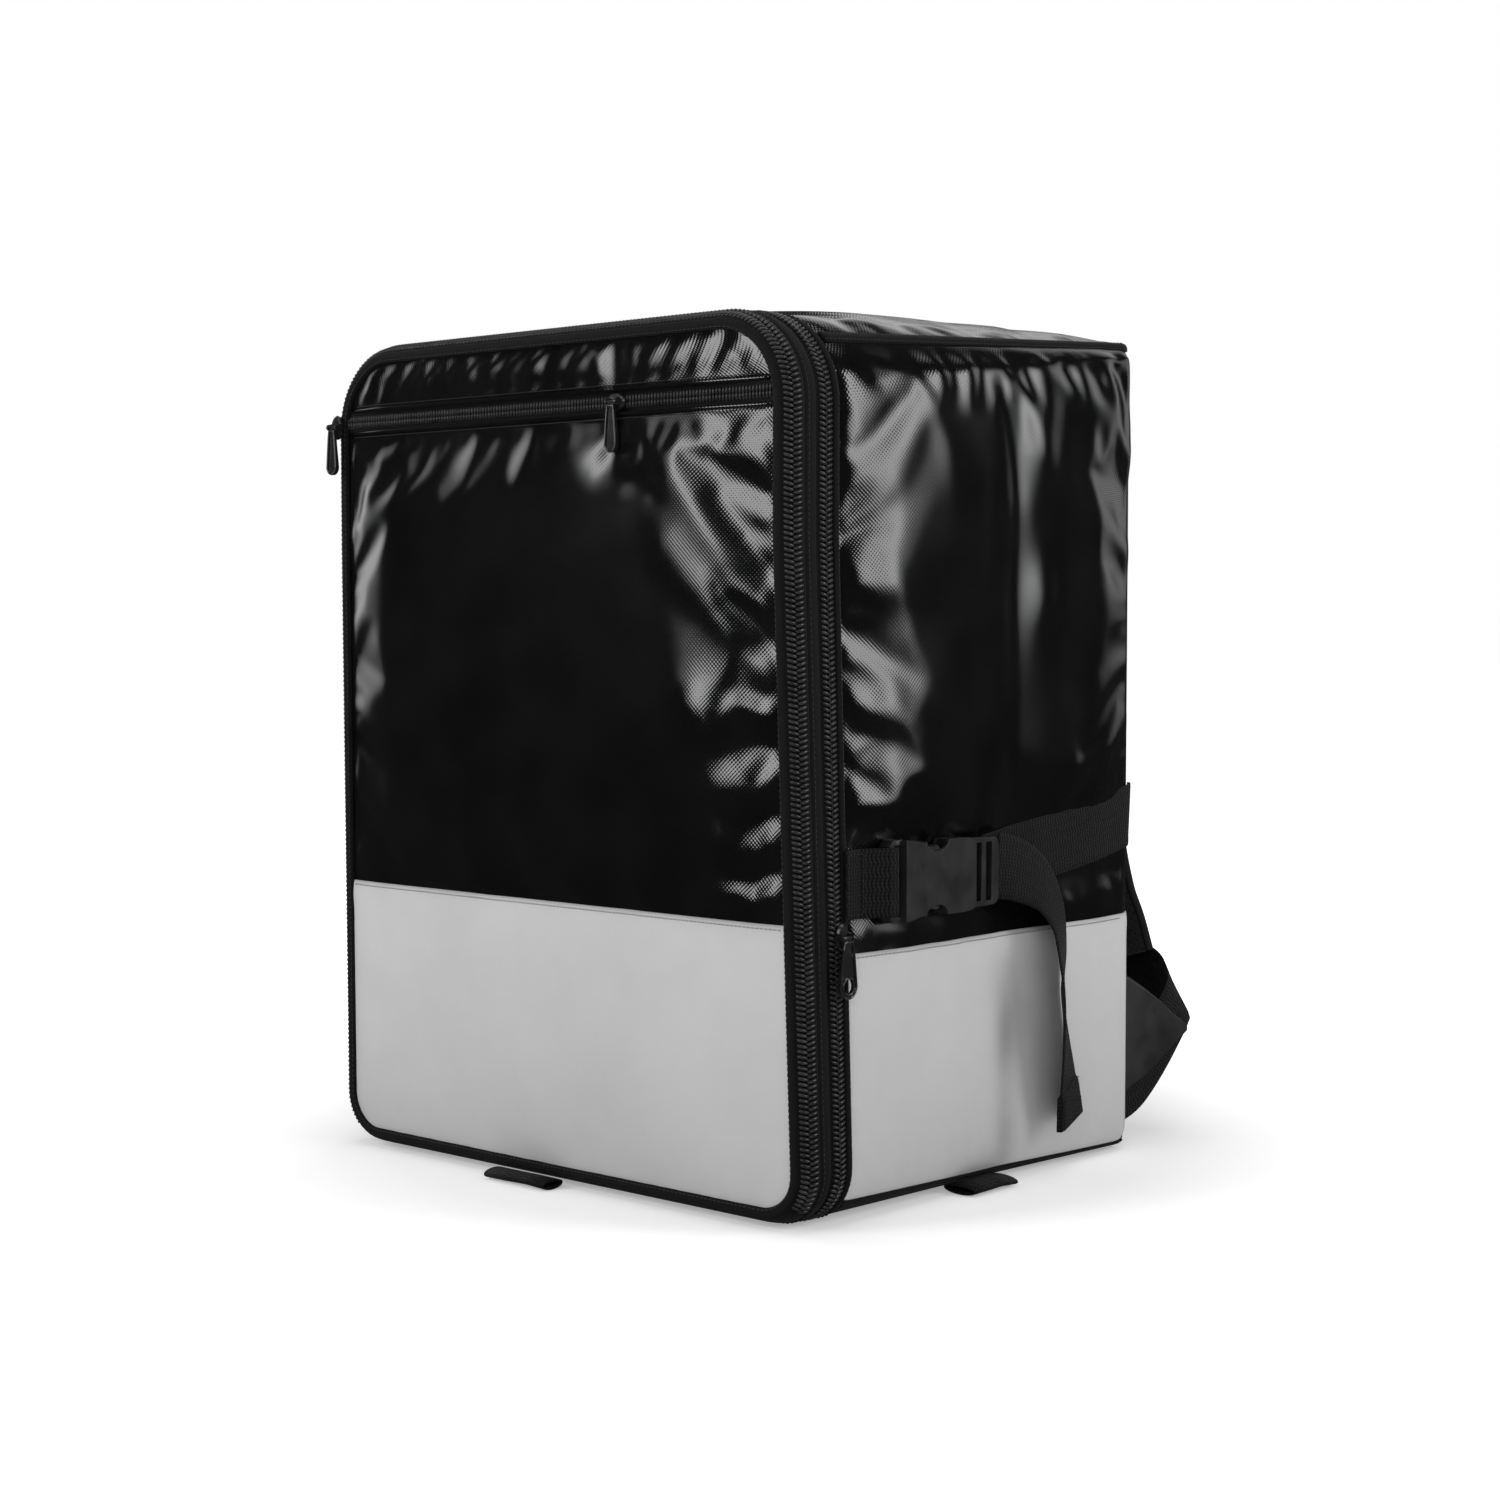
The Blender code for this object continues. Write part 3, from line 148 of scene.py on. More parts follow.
CAMERA_PLACE = (1.0808, -1.210462, 0.3287)
CAMERA_DIP = 0.0521
CAMERA_TURN = 0.74
FOCAL_LENGTH = 62.18
SENSOR_WIDTH = 36.0
BAG_MIDDLE = (0.0, 0.0, 0.25)
FLOOR_REACH = 14.0
AMBIENT = 0.025
SOFTBOXES = (
    # Name, place, what it faces, width, height and power
    ("front_box", (-0.92, -2.18, 1.10), BAG_MIDDLE, 0.75, 1.6, 23),
    ("right_box", (2.05, 1.0, 1.0), BAG_MIDDLE, 0.75, 1.7, 22),
    ("left_box", (-2.2, -0.45, 0.9), BAG_MIDDLE, 0.7, 1.4, 7),
    ("rear_box", (-0.9, 2.3, 1.7), BAG_MIDDLE, 1.7, 1.0, 4.5),
    ("rear_right_box", (0.70, 2.3, 0.95), BAG_MIDDLE, 0.5, 1.3, 2.4),
    ("camera_box", (1.75, -2.1, 1.5), BAG_MIDDLE, 1.6, 1.2, 17),
    ("top_box", (0.0, 0.2, 2.4), (0.0, 0.0, 0.0), 2.0, 2.0, 18),
)


def add_object(name, data):
    made = bpy.data.objects.new(name, data)
    bpy.context.collection.objects.link(made)
    return made


def camera_and_lamps():
    camera = add_object("camera", bpy.data.cameras.new("camera"))
    camera.location = CAMERA_PLACE
    camera.rotation_euler = (math.pi / 2 - CAMERA_DIP, 0.0, CAMERA_TURN)
    camera.data.lens = FOCAL_LENGTH
    camera.data.sensor_width = SENSOR_WIDTH
    bpy.context.scene.camera = camera
    bpy.context.scene.view_settings.view_transform = "Standard"
    for name, place, aim, width, height, power in SOFTBOXES:
        light = bpy.data.lights.new(name, "AREA")
        light.shape = "RECTANGLE"
        light.size = width
        light.size_y = height
        light.energy = power
        lamp = add_object(name, light)
        lamp.location = place
        lamp.rotation_euler = (Vector(aim) - Vector(place)).to_track_quat("-Z", "Y").to_euler()


def backdrop():
    """White behind the bag, and a dim even light for everything else."""
    sky = bpy.data.worlds.new("studio")
    bpy.context.scene.world = sky
    sky.use_nodes = True
    nodes = sky.node_tree.nodes
    link = sky.node_tree.links.new
    nodes.clear()
    seen = nodes.new("ShaderNodeLightPath")
    both = nodes.new("ShaderNodeMixShader")
    link(seen.outputs["Is Camera Ray"], both.inputs[0])
    for slot, tone in ((1, AMBIENT), (2, 1.0)):
        light = nodes.new("ShaderNodeBackground")
        light.inputs["Color"].default_value = (tone, tone, tone, 1.0)
        link(light.outputs[0], both.inputs[slot])
    link(both.outputs[0], nodes.new("ShaderNodeOutputWorld").inputs["Surface"])


def pale_floor():
    """A floor that glows white away from the bag. Near the bag its glow is dimmed, a painted shade round the
    bag on top of its real shadow.
    """
    mesh = bpy.data.meshes.new("floor")
    far = FLOOR_REACH
    mesh.from_pydata([(-far, -far, 0), (far, -far, 0), (far, far, 0), (-far, far, 0)], [], [(0, 1, 2, 3)])
    floor = add_object("floor", mesh)
    floor.visible_glossy = False
    made = bpy.data.materials.new("pale_floor")
    made.use_nodes = True
    nodes = made.node_tree.nodes
    link = made.node_tree.links.new
    shader = nodes["Principled BSDF"]
    shader.inputs["Base Color"].default_value = (0.93, 0.93, 0.93, 1.0)
    shader.inputs["Roughness"].default_value = 0.9
    shader.inputs["Specular IOR Level"].default_value = 0.0
    shader.inputs["Emission Color"].default_value = (1.0, 1.0, 1.0, 1.0)
    place = nodes.new("ShaderNodeNewGeometry")
    distance = nodes.new("ShaderNodeVectorMath")
    distance.operation = "LENGTH"
    # The glow fades towards the bag: painted shade round its foot
    spread = nodes.new("ShaderNodeMapRange")
    for key, value in (("From Min", 0.24), ("From Max", 0.55), ("To Min", 0.32), ("To Max", 1.0)):
        spread.inputs[key].default_value = value
    link(place.outputs["Position"], distance.inputs[0])
    link(distance.outputs["Value"], spread.inputs["Value"])
    link(spread.outputs["Result"], shader.inputs["Emission Strength"])
    mesh.materials.append(made)


camera_and_lamps()
backdrop()
pale_floor()


# Materials

class Shader:
    """A Principled material whose nodes are added with short calls."""

    def __init__(self, name, rough, **sockets):
        self.made = bpy.data.materials.new(name)
        self.made.use_nodes = True
        self.nodes = self.made.node_tree.nodes
        self.link = self.made.node_tree.links.new
        self.main = self.nodes["Principled BSDF"]
        self.main.inputs["Roughness"].default_value = rough
        for key, value in sockets.items():
            self.main.inputs[key.replace("_", " ")].default_value = value
        self.bumped = None

    def put(self, target, value):
        if hasattr(value, "outputs"):
            value = value.outputs[0]
        if hasattr(value, "is_output"):
            self.link(value, target)
        else:
            target.default_value = value

    def math(self, operation, a, b=0.0, c=0.0):
        node = self.nodes.new("ShaderNodeMath")
        node.operation = operation
        for socket, value in zip(node.inputs, (a, b, c)):
            self.put(socket, value)
        return node.outputs[0]

    def uv(self):
        """Distance along the cloth in metres, across and along."""
        layer = self.nodes.new("ShaderNodeUVMap")
        layer.uv_map = "metres"
        split = self.nodes.new("ShaderNodeSeparateXYZ")
        self.link(layer.outputs[0], split.inputs[0])
        return split.outputs[0], split.outputs[1]

    def wave(self, value, pitch, phase=0.0):
        """A cosine from -1 to 1 along a coordinate."""
        return self.math("COSINE", self.math("MULTIPLY_ADD", value, 2 * math.pi / pitch, phase))

    def noise(self, scale, detail=2.0, rough=0.5):
        place = self.nodes.new("ShaderNodeNewGeometry")
        node = self.nodes.new("ShaderNodeTexNoise")
        for key, value in (("Scale", scale), ("Detail", detail), ("Roughness", rough)):
            node.inputs[key].default_value = value
        self.link(place.outputs["Position"], node.inputs["Vector"])
        return node.outputs[0]

    def ramp(self, value, low, high, first, last):
        node = self.nodes.new("ShaderNodeMapRange")
        self.put(node.inputs["Value"], value)
        for key, number in (("From Min", low), ("From Max", high), ("To Min", first), ("To Max", last)):
            node.inputs[key].default_value = number
        return node.outputs[0]

    def colour(self, share, first, last):
        node = self.nodes.new("ShaderNodeMix")
        node.data_type = "RGBA"
        self.put(node.inputs[0], share)
        node.inputs[6].default_value = (*first, 1.0)
        node.inputs[7].default_value = (*last, 1.0)
        self.link(node.outputs[2], self.main.inputs["Base Color"])

    def rough(self, value):
        self.link(value, self.main.inputs["Roughness"])

    def bump(self, height, distance, strength=1.0):
        node = self.nodes.new("ShaderNodeBump")
        node.inputs["Distance"].default_value = distance
        node.inputs["Strength"].default_value = strength
        self.link(height, node.inputs["Height"])
        if self.bumped is not None:
            self.link(self.bumped, node.inputs["Normal"])
        self.bumped = node.outputs[0]
        self.link(self.bumped, self.main.inputs["Normal"])


VINYL_CELL = 0.0024


def grey(tone):
    return (tone,) * 3


def vinyl_shader():
    """Glossy coated cloth: the weave shows through as a lattice of small raised cells."""
    s = Shader("vinyl", 0.18, Specular_IOR_Level=0.62)
    u, v = s.uv()
    cells = s.math("MULTIPLY", s.wave(u, VINYL_CELL), s.wave(v, VINYL_CELL))
    broad = s.noise(26.0, 3.0)
    s.bump(s.noise(60.0, 3.0, 0.55), 0.0006, 0.12)
    s.bump(cells, 0.000034, 1.0)
    s.rough(s.math("ADD", s.ramp(cells, -0.7, 0.2, 0.17, 0.08), s.ramp(broad, 0.3, 0.7, -0.01, 0.02)))
    s.colour(s.ramp(broad, 0.3, 0.7, 0.0, 1.0), (0.0018, 0.0018, 0.0020), (0.0034, 0.0034, 0.0037))
    return s.made


def reflective_shader():
    """Grey reflective cloth: matt, fine plain weave, faint handling marks. Its colour also takes a painted
    shade down the side band's fold line.
    """
    s = Shader("reflective", 0.55, Sheen_Weight=0.15, Sheen_Roughness=0.5)
    u, v = s.uv()
    weave = s.math("MULTIPLY", s.wave(u, 0.0007), s.wave(v, 0.0007))
    broad = s.noise(14.0, 4.0, 0.6)
    s.bump(s.noise(30.0, 3.0), 0.0010, 0.25)
    s.bump(weave, 0.00003, 0.7)
    s.rough(s.ramp(broad, 0.3, 0.7, 0.50, 0.62))
    # Painted shade: a point attribute, set on the side bands, darkens the colour along the band's fold line.
    painted_shade = s.nodes.new("ShaderNodeAttribute")
    painted_shade.attribute_name = "painted_shade"
    clean = s.ramp(broad, 0.25, 0.75, 1.0, 0.86)
    s.colour(s.math("SUBTRACT", clean, painted_shade.outputs["Fac"]), (0.10, 0.10, 0.102), (0.475, 0.475, 0.48))
    return s.made


def woven_shader(name, pitch, dark, light, rough, depth):
    """Matt black tape or webbing with ribs across it and a fine weave. The colour follows the ribs' height,
    darker in the grooves: painted shade.
    """
    s = Shader(name, rough, Specular_IOR_Level=0.22, Sheen_Weight=0.03, Sheen_Roughness=0.4)
    u, v = s.uv()
    slant = s.math("MULTIPLY_ADD", s.math("ABSOLUTE", s.wave(u, pitch * 6.0)), pitch * 0.5, v)
    fine = s.math("MULTIPLY", s.wave(u, pitch * 0.8), 0.3)
    ribs = s.math("MULTIPLY_ADD", s.wave(slant, pitch), 0.7, fine)
    fuzz = s.noise(900.0, 2.0)
    s.bump(s.math("MULTIPLY_ADD", fuzz, 0.5, ribs), depth, 1.0)
    s.rough(s.ramp(ribs, -1.0, 1.0, min(1.0, rough + 0.08), rough - 0.06))
    # Painted shade: darker colour in the grooves between the ribs, lighter on their crests
    s.colour(s.ramp(ribs, -0.9, 0.9, 0.0, 1.0), dark, light)
    return s.made


def smooth_shader(name, rough, grain, dark, light, **sockets):
    """Moulded plastic or coated metal with a faint grain and worn, lighter patches."""
    s = Shader(name, rough, **sockets)
    fine = s.noise(1400.0, 2.0)
    broad = s.noise(70.0, 3.0)
    s.bump(fine, grain, 0.6)
    s.rough(s.ramp(broad, 0.3, 0.7, rough - 0.05, rough + 0.07))
    s.colour(s.ramp(broad, 0.3, 0.75, 0.0, 1.0), dark, light)
    return s.made


def mesh_shader():
    """Padded spacer mesh: rows of small open holes in a dull knit. The holes are painted darker than the
    knit, a painted shade inside them.
    """
    s = Shader("mesh", 0.85, Specular_IOR_Level=0.3, Sheen_Weight=0.12, Sheen_Roughness=0.5)
    u, v = s.uv()
    holes = s.math("MULTIPLY", s.wave(u, 0.0044), s.wave(v, 0.0044))
    knit = s.math("MULTIPLY", s.wave(u, 0.0011), s.wave(v, 0.0011))
    open_share = s.ramp(holes, 0.25, 0.65, 0.0, 1.0)
    height = s.math("MULTIPLY_ADD", knit, 0.15, s.math("MULTIPLY", open_share, -1.0))
    s.bump(height, 0.0007, 1.0)
    # Painted shade: the holes get a darker colour than the knit
    s.colour(open_share, (0.017, 0.017, 0.018), (0.002, 0.002, 0.002))
    return s.made


def thread_shader(name, tone):
    s = Shader(name, 0.7, Specular_IOR_Level=0.3)
    s.bump(s.noise(2500.0, 1.0), 0.0001, 0.5)
    s.colour(s.noise(900.0, 1.0), grey(tone * 0.7), grey(tone * 1.2))
    return s.made


VINYL = vinyl_shader()
REFLECTIVE = reflective_shader()
TAPE = woven_shader("tape", 0.0009, grey(0.0014), grey(0.0040), 0.80, 0.00005)
BINDING = woven_shader("binding", 0.0007, grey(0.0020), grey(0.0050), 0.82, 0.00004)
WEBBING = woven_shader("webbing", 0.0024, grey(0.0010), grey(0.0075), 0.72, 0.00028)
COIL = smooth_shader("coil", 0.30, 0.00003, grey(0.016), grey(0.030))
PLASTIC = smooth_shader("plastic", 0.34, 0.00005, grey(0.009), grey(0.015))
METAL = smooth_shader("metal", 0.24, 0.00002, grey(0.008), grey(0.014), Coat_Weight=0.4, Coat_Roughness=0.15)
MESH = mesh_shader()
WING = smooth_shader("wing_cloth", 0.46, 0.00012, grey(0.010), grey(0.017))
THREAD = thread_shader("thread", 0.022)
PALE_THREAD = thread_shader("pale_thread", 0.26)


# Mesh building

SIDES = (("right", np.array((1.0, 1.0, 1.0))), ("left", np.array((-1.0, 1.0, 1.0))))


def put_object(name, verts, faces, material, uv=None):
    mesh = bpy.data.meshes.new(name)
    mesh.from_pydata(np.asarray(verts, float).reshape(-1, 3).tolist(), [], faces)
    if uv is not None:
        layer = mesh.uv_layers.new(name="metres")
        layer.data.foreach_set("uv", np.asarray(uv, np.float32).ravel())
    mesh.materials.append(material)
    mesh.shade_smooth()
    return add_object(name, mesh)


def lengths(points):
    """Running length along the first axis of a grid of points, averaged over the second."""
    steps = np.linalg.norm(np.diff(points, axis=0), axis=-1)
    if steps.ndim > 1:
        steps = steps.mean(axis=1)
    return np.concatenate(([0.0], np.cumsum(steps)))


def sheet(name, grid, material, wrap=(False, False), flip=False, caps=False):
    """A mesh from a grid of points, with UVs in metres. wrap closes it along either axis."""
    grid = np.asarray(grid, float)
    rows, cols = grid.shape[:2]
    wide = grid
    if wrap[0]:
        wide = np.concatenate((wide, wide[:1]), axis=0)
    if wrap[1]:
        wide = np.concatenate((wide, wide[:, :1]), axis=1)
    along = lengths(wide)
    across = lengths(np.swapaxes(wide, 0, 1))
    faces = []
    uv = []
    for i in range(rows - (0 if wrap[0] else 1)):
        k = (i + 1) % rows
        for j in range(cols - (0 if wrap[1] else 1)):
            m = (j + 1) % cols
            face = [i * cols + j, i * cols + m, k * cols + m, k * cols + j]
            spot = [(across[j], along[i]), (across[j + 1], along[i]),
                    (across[j + 1], along[i + 1]), (across[j], along[i + 1])]
            if flip:
                face.reverse()
                spot.reverse()
            faces.append(face)
            uv += spot
    if caps:
        for first in (0, (rows - 1) * cols):
            ring = list(range(first, first + cols))
            faces.append(ring if first else ring[::-1])
            uv += [(across[j], along[0] if not first else along[-1]) for j in range(cols)]
    made = put_object(name, grid, faces, material, uv)
    if caps or (wrap[0] and wrap[1]):
        face_out(made)
    return made


def flat_uv(made):
    """Lay the cloth's pattern straight across a back or front face."""
    mesh = made.data
    points = np.array([v.co for v in mesh.vertices])
    corner = np.empty(len(mesh.loops), int)
    mesh.loops.foreach_get("vertex_index", corner)
    mesh.uv_layers["metres"].data.foreach_set("uv", points[corner][:, [0, 2]].ravel())


def face_out(made):
    bm = bmesh.new()
    bm.from_mesh(made.data)
    bmesh.ops.recalc_face_normals(bm, faces=bm.faces)
    bm.to_mesh(made.data)
    bm.free()


def publish(made, nodes=(), body="bag"):
    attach(made, body)
    if nodes:
        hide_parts(*nodes)


def piece(name, grid, material, slot, nodes=(), fill=None, body="bag", thick=0.0, finer=False, **how):
    """A published sheet, with its thickness behind its face."""
    made = sheet(name, grid, material, **how)
    if finer:
        change = made.modifiers.new("finer", "SUBSURF")
        change.levels = change.render_levels = 1
    if thick:
        change = made.modifiers.new("thick", "SOLIDIFY")
        change.thickness = thick
        change.offset = -1.0
        change.use_even_offset = False
    publish(made, nodes, body)
    return made


def bead(sides, rings):
    """A small closed form along x: rings are (x, share of the width)."""
    verts = []
    faces = []
    for x, share in rings:
        for i in range(sides):
            angle = 2 * math.pi * i / sides
            verts.append((x, share * math.cos(angle), share * math.sin(angle)))
    for r in range(len(rings) - 1):
        for i in range(sides):
            j = (i + 1) % sides
            faces.append((r * sides + i, r * sides + j, (r + 1) * sides + j, (r + 1) * sides + i))
    faces.append(tuple(range(sides))[::-1])
    faces.append(tuple(range((len(rings) - 1) * sides, len(rings) * sides)))
    return np.array(verts), faces


STITCH = bead(5, ((-0.5, 0.3), (-0.36, 0.9), (0.0, 1.0), (0.36, 0.9), (0.5, 0.3)))
TOOTH = bead(5, ((0.0, 0.45), (0.14, 1.0), (0.72, 1.0), (1.0, 0.55)))


THREAD_RADIUS = 0.00034
THREAD_PITCH = 0.0032


def scatter(name, template, places, material):
    """Copies of a small form as one mesh. Places are (centre, x axis, y axis, z axis) arrays."""
    verts, faces = template
    centre, a, b, c = places
    spread = (centre[:, None, :] + verts[None, :, 0:1] * a[:, None, :]
              + verts[None, :, 1:2] * b[:, None, :] + verts[None, :, 2:3] * c[:, None, :])
    count = len(verts)
    every = [tuple(i + k * count for i in face) for k in range(len(centre)) for face in faces]
    publish(put_object(name, spread, every, material))


def walk(points, pitch):
    """Evenly spaced places along a line: positions, directions and the share between points."""
    done = lengths(points)
    count = max(2, int(round(done[-1] / pitch)))
    spots = (np.arange(count) + 0.5) * done[-1] / count
    places, ahead, behind = (
        np.stack([np.interp(spots + step, done, points[:, k]) for k in range(3)], axis=1)
        for step in (0.0, 0.0005, -0.0005))
    return places, unit(ahead - behind), np.interp(spots, done, np.arange(len(points)))


def stitch_row(name, points, normals, material=THREAD, pitch=THREAD_PITCH):
    """A row of stitches on a line of points, each half sunk into the cloth."""
    points = np.asarray(points, float)
    normals = np.broadcast_to(np.asarray(normals, float), points.shape)
    places, along, share = walk(points, pitch)
    index = np.arange(len(normals))
    up = np.stack([np.interp(share, index, normals[:, k]) for k in range(3)], axis=1)
    up = unit(up - along * (up * along).sum(axis=1)[:, None])
    side = np.cross(up, along)
    frames = (places + up * THREAD_RADIUS * 0.35, along * pitch * 0.74,
              side * THREAD_RADIUS, up * THREAD_RADIUS)
    scatter(name, STITCH, frames, material)


# The bag's outline

BASE_N, LOW_ARC_N, BAND_N, SIDE_N, HIGH_ARC_N, TOP_N = 30, 10, 26, 66, 14, 38
LOW_AT = BASE_N + LOW_ARC_N // 2
BAND_AT = BASE_N + LOW_ARC_N + BAND_N
HIGH_AT = BAND_AT + SIDE_N + HIGH_ARC_N // 2


def body_shares(y):
    share = y / DEPTH
    if share <= BODY[0][0]:
        return 0.0, 0.0
    for before, after in zip(BODY, BODY[1:]):
        if share <= after[0]:
            t = (share - before[0]) / (after[0] - before[0])
            t = t * t * (3 - 2 * t)
            return before[1] + (after[1] - before[1]) * t, before[2] + (after[2] - before[2]) * t
    return BODY[-1][1], BODY[-1][2]


def outline(y):
    """Half the outline at depth y, from the base's middle to the top's: x, z and its normal."""
    crown, bulge = body_shares(y)
    deep = min(1.0, max(0.0, (y - PANEL_START) / (DEPTH - PANEL_START)))
    high = HEIGHT + REAR_RISE * deep
    low = BASE_TUCK if y < PANEL_START else 0.0
    top_r = FRONT_TOP_RADIUS + (REAR_RADIUS - FRONT_TOP_RADIUS) * deep
    low_r = FRONT_LOW_RADIUS + (REAR_RADIUS - FRONT_LOW_RADIUS) * deep
    x, z = [], []
    base = np.linspace(0, 1, BASE_N, endpoint=False)
    x.append((HALF - low_r) * base)
    z.append(np.full(BASE_N, low))
    angle = np.radians(np.linspace(-90, 0, LOW_ARC_N, endpoint=False))
    x.append(HALF - low_r + low_r * np.cos(angle))
    z.append(low + low_r + low_r * np.sin(angle))
    foot, head = low + low_r, high - top_r
    heights = np.concatenate((np.linspace(foot, BAND_SIDE, BAND_N, endpoint=False),
                              np.linspace(BAND_SIDE, head, SIDE_N, endpoint=False)))
    x.append(HALF + SIDE_BULGE * bulge * np.sin(math.pi * (heights - foot) / (head - foot)))
    z.append(heights)
    angle = np.radians(np.linspace(0, 90, HIGH_ARC_N, endpoint=False))
    x.append(HALF - top_r + top_r * np.cos(angle))
    z.append(head + top_r * np.sin(angle))
    top = np.linspace(0, 1, TOP_N + 1)
    x.append((HALF - top_r) * (1 - top))
    z.append(high + CROWN * crown * np.sin(0.5 * math.pi * top))
    x = np.concatenate(x)
    z = np.concatenate(z)
    along = np.stack((np.gradient(x), np.gradient(z)), axis=1)
    along /= np.linalg.norm(along, axis=1)[:, None]
    return x, z, along[:, 1], -along[:, 0]


def full_outline(y):
    x, z, nx, nz = outline(y)
    back = slice(-2, 0, -1)
    nx[0], nz[0], nx[-1], nz[-1] = 0.0, -1.0, 0.0, 1.0
    return (np.concatenate((x, -x[back])), np.concatenate((z, z[back])),
            np.concatenate((nx, -nx[back])), np.concatenate((nz, nz[back])))


RIM = full_outline(0.0)
RIM_N = len(RIM[0])
SPLIT_LOW = LOW_AT
SPLIT_BACK = RIM_N - LOW_AT
LEAST_Z = 0.0005
PROBE = 0.001
COIL_PITCH = 0.0029
COIL_THICK = 0.00105


def rim_points(index, y, out):
    """Points on the door's outline at fractional indexes, a distance out from it."""
    index = np.asarray(index, float)
    whole = np.arange(RIM_N + 1)
    x, z, nx, nz = [np.interp(index % RIM_N, whole, np.append(part, part[0])) for part in RIM]
    y = np.broadcast_to(y, x.shape)
    return np.stack((x + nx * out, y, np.maximum(z + nz * out, LEAST_Z)), axis=-1)


def rim_band(name, profile, material, slot, nodes=(), first=0, last=RIM_N):
    """A band swept round the door's outline. The profile is (y, distance out) pairs."""
    closed = last - first == RIM_N
    index = np.arange(first, last + (0 if closed else 1))
    grid = np.stack([world(rim_points(index, y, out)) for y, out in profile], axis=1)
    piece(name, grid, material, slot, nodes, wrap=(closed, True), caps=not closed)


def rim_stitches(name, y, out, normal):
    """Stitches round the outline. The normal is (along y, outward)."""
    index = np.arange(0, RIM_N + 1, 0.5)
    line = world(rim_points(index, y, out))
    lifted = world(rim_points(index, y + normal[0] * PROBE, out + normal[1] * PROBE))
    stitch_row(name, line, lifted - line)


def coil_rows(name, first, last, centre, across, normal, reach, high):
    """Two meshing rows of zip coil round the outline. centre, across and normal are (y, out)."""
    index = np.linspace(first, last, int((last - first) * 8))
    places, along, share = walk(world(rim_points(index, *centre)), COIL_PITCH)
    at = np.interp(share, np.arange(len(index)), index)
    base, beside, above = (
        world(rim_points(at, centre[0] + step[0] * PROBE, centre[1] + step[1] * PROBE))
        for step in ((0, 0), across, normal))
    side = unit(beside - base)
    up = np.cross(along, side)
    up *= np.sign((up * (above - base)).sum(axis=1))[:, None]
    coil_mesh(name, places, along, side, up, COIL_PITCH, reach, COIL_THICK, high, 0.5)


def coil_mesh(name, places, along, side, up, pitch, reach, thick, high, slant):
    """Teeth from both sides. The slant is how far the rows are staggered, as a share of the pitch."""
    sets = []
    for way, offset in ((1.0, 0.0), (-1.0, pitch * slant)):
        root = places + side * way * reach + along * offset
        inward = -side * way * (reach + 0.0002) + up * high * 0.25 - along * pitch * slant
        sets.append((root, inward, along * thick, up * high))
    frames = [np.concatenate(parts) for parts in zip(*sets)]
    scatter(name, TOOTH, frames, COIL)


# Folds and puckers of the vinyl

def folds(a, b, table):
    """Height of a set of folds at (a, b). Rows: start, end, width at each end, height, how it fades."""
    height = np.zeros(np.broadcast(a, b).shape)
    for a0, b0, a1, b1, wide0, wide1, rise, fade in table:
        da, db = a1 - a0, b1 - b0
        span = math.hypot(da, db)
        t = ((a - a0) * da + (b - b0) * db) / span ** 2
        off = ((a - a0) * -db + (b - b0) * da) / span
        width = wide0 + (wide1 - wide0) * clip01(t)
        past = np.where(t > 1, bell((t - 1) * span, wide1 + 0.006), 1.0)
        reach = np.where(t < 0, bell(t * span, wide0), past)
        height += rise * bell(off, width) * reach * (1.0 - fade * clip01(t))
    return height


def edge_puckers(seed, first, last, gap, reach, rise, at, inward, upright=True):
    """Random short puckers that start at a seam and run inward from it."""
    rng = np.random.default_rng(seed)
    table = []
    spot = first
    way = 1.0
    while spot < last:
        run = reach * rng.uniform(0.5, 1.3)
        lean = rng.uniform(-0.35, 0.35) * run
        high = rise * rng.uniform(0.5, 1.2) * way
        wide = gap * rng.uniform(0.24, 0.36)
        start = (at, spot) if upright else (spot, at)
        end = (at + inward * run, spot + lean) if upright else (spot + lean, at + inward * run)
        table.append((*start, *end, wide, wide * 2.2, high, 0.85))
        spot += gap * rng.uniform(0.7, 1.3)
        way = -way
    return table


CLOTH_FRAMES = 14


def relax(grid, flip, held, pressure, growth, cap, free):
    """Let a grid settle as cloth between its held points. Each point's way is kept up to a cap."""
    made = sheet("cloth_try", grid, VINYL, flip=flip)
    start = np.array([v.co for v in made.data.vertices])
    group = made.vertex_groups.new(name="held")
    group.add([int(i) for i in np.flatnonzero(held)], 1.0, "REPLACE")
    change = made.modifiers.new("cloth", "CLOTH")
    rules = change.settings
    rules.vertex_group_mass = "held"
    rules.quality = 5
    rules.mass = 0.25
    rules.air_damping = 3.0
    rules.tension_stiffness = rules.compression_stiffness = 18.0
    rules.shear_stiffness = 8.0
    rules.bending_stiffness = 1.2
    rules.use_pressure = True
    rules.uniform_pressure_force = pressure
    rules.shrink_min = rules.shrink_max = -growth
    rules.effector_weights.gravity = 0.0
    change.collision_settings.use_collision = False
    change.point_cache.frame_start = 1
    change.point_cache.frame_end = CLOTH_FRAMES
    for step in range(1, CLOTH_FRAMES + 1):
        bpy.context.scene.frame_set(step)
    done = made.evaluated_get(bpy.context.evaluated_depsgraph_get()).data
    moved = (np.array([v.co for v in done.vertices]) - start).reshape(grid.shape)
    made.modifiers.remove(change)
    bpy.context.scene.frame_set(1)
    bpy.data.objects.remove(made, do_unlink=True)
    length = np.linalg.norm(moved, axis=-1, keepdims=True)
    moved *= np.minimum(1.0, cap / np.maximum(length, 1e-9)) * free[..., None]
    return grid + moved


# Covers: rows run along the depth and round the rear edge, columns along the outline

SEAM_SINK = 0.0016
REAR_TURNS = np.radians((25, 50, 72, 90))


